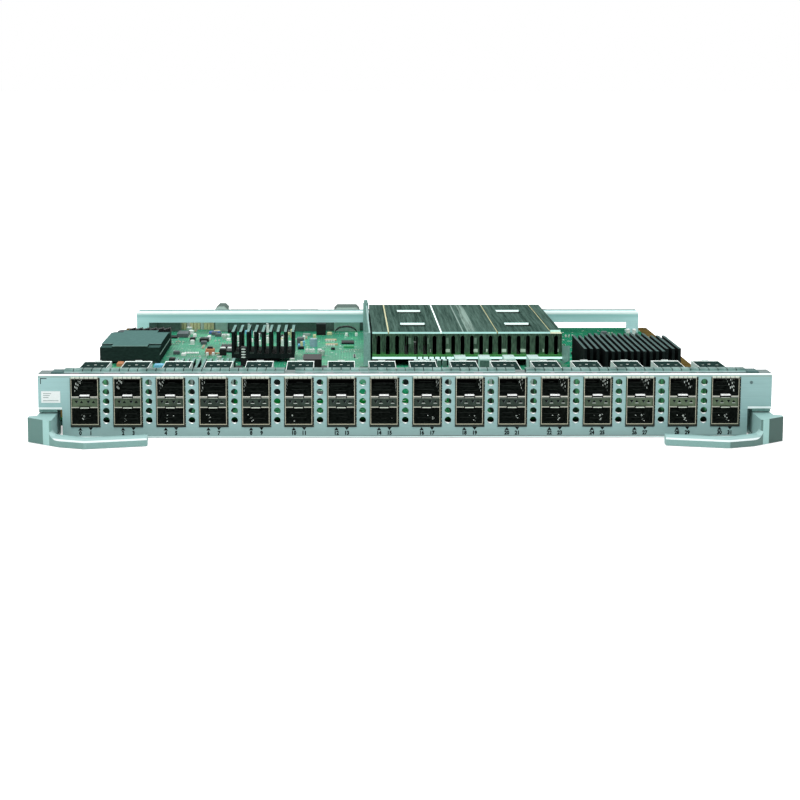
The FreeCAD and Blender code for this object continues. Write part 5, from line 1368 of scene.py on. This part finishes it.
def make_stage():
    """A pale floor that looks brighter than the light it throws back on the card."""
    mesh = bpy.data.meshes.new("floor")
    reach = 30.0
    corners = [(-reach, -reach, 0), (reach, -reach, 0), (reach, reach, 0), (-reach, reach, 0)]
    mesh.from_pydata(corners, [], [(0, 1, 2, 3)])
    floor = show("floor", mesh)
    material = bpy.data.materials.new("floor_pale")
    material.use_nodes = True
    tree = material.node_tree
    tree.nodes.clear()
    diffuse = add_node(tree, "BsdfDiffuse", Color=(0.8, 0.8, 0.8, 1))
    pale = add_node(tree, "BsdfDiffuse", Color=(0.9, 0.9, 0.9, 1))
    lift = add_node(tree, "Emission", Strength=0.5)
    joined = add_node(tree, "AddShader", pale.outputs[0], lift.outputs[0])
    path = add_node(tree, "LightPath").outputs
    seen = larger(tree, path["Is Camera Ray"], path["Is Glossy Ray"])
    mixed = add_node(tree, "MixShader", seen, diffuse.outputs[0], joined.outputs[0])
    add_node(tree, "OutputMaterial", mixed.outputs[0])
    mesh.materials.append(material)


def make_world():
    """White surroundings that light the card less brightly than they look."""
    world = bpy.data.worlds.new("studio")
    bpy.context.scene.world = world
    world.use_nodes = True
    tree = world.node_tree
    tree.nodes.clear()
    path = add_node(tree, "LightPath").outputs
    seen = larger(tree, path["Is Camera Ray"], path["Is Transmission Ray"])
    seen = larger(tree, seen, path["Is Glossy Ray"])
    level = add_node(tree, "MapRange", seen, To_Min=0.62, To_Max=1.0)
    back = add_node(tree, "Background", Color=(1, 1, 1, 1), Strength=level.outputs["Result"])
    add_node(tree, "OutputWorld", back.outputs[0])


def add_light(name, place_m, target_m, size_m, watts):
    """A rectangular lamp that points at its target."""
    data = bpy.data.lights.new(name, "AREA")
    data.shape = "RECTANGLE"
    data.size, data.size_y = size_m
    data.energy = watts
    lamp = show(name, data)
    lamp.location = place_m
    lamp.rotation_euler = (Vector(target_m) - Vector(place_m)).to_track_quat("-Z", "Y").to_euler()


def make_camera():
    """The view of the photo: from the front, a little above the card and slightly turned."""
    data = bpy.data.cameras.new("camera")
    data.sensor_width = 36.0
    data.lens = 90.0
    data.shift_x = 0.05375
    data.clip_end = 200.0
    camera = show("camera", data)
    camera.location = (CAMERA_X * MM, CAMERA_Y * MM, CAMERA_Z * MM)
    camera.rotation_euler = (math.radians(80.88), 0.0, math.radians(-0.47))
    bpy.context.scene.camera = camera


make_stage()
make_world()
add_light("key", (-0.5, -1.2, 2.0), (0, 0, 0), (1.6, 1.2), 26)
add_light("top", (0.3, 0.6, 2.2), (0, 0.05, 0), (1.8, 1.4), 22)
make_camera()
bpy.context.scene.view_settings.view_transform = "Standard"
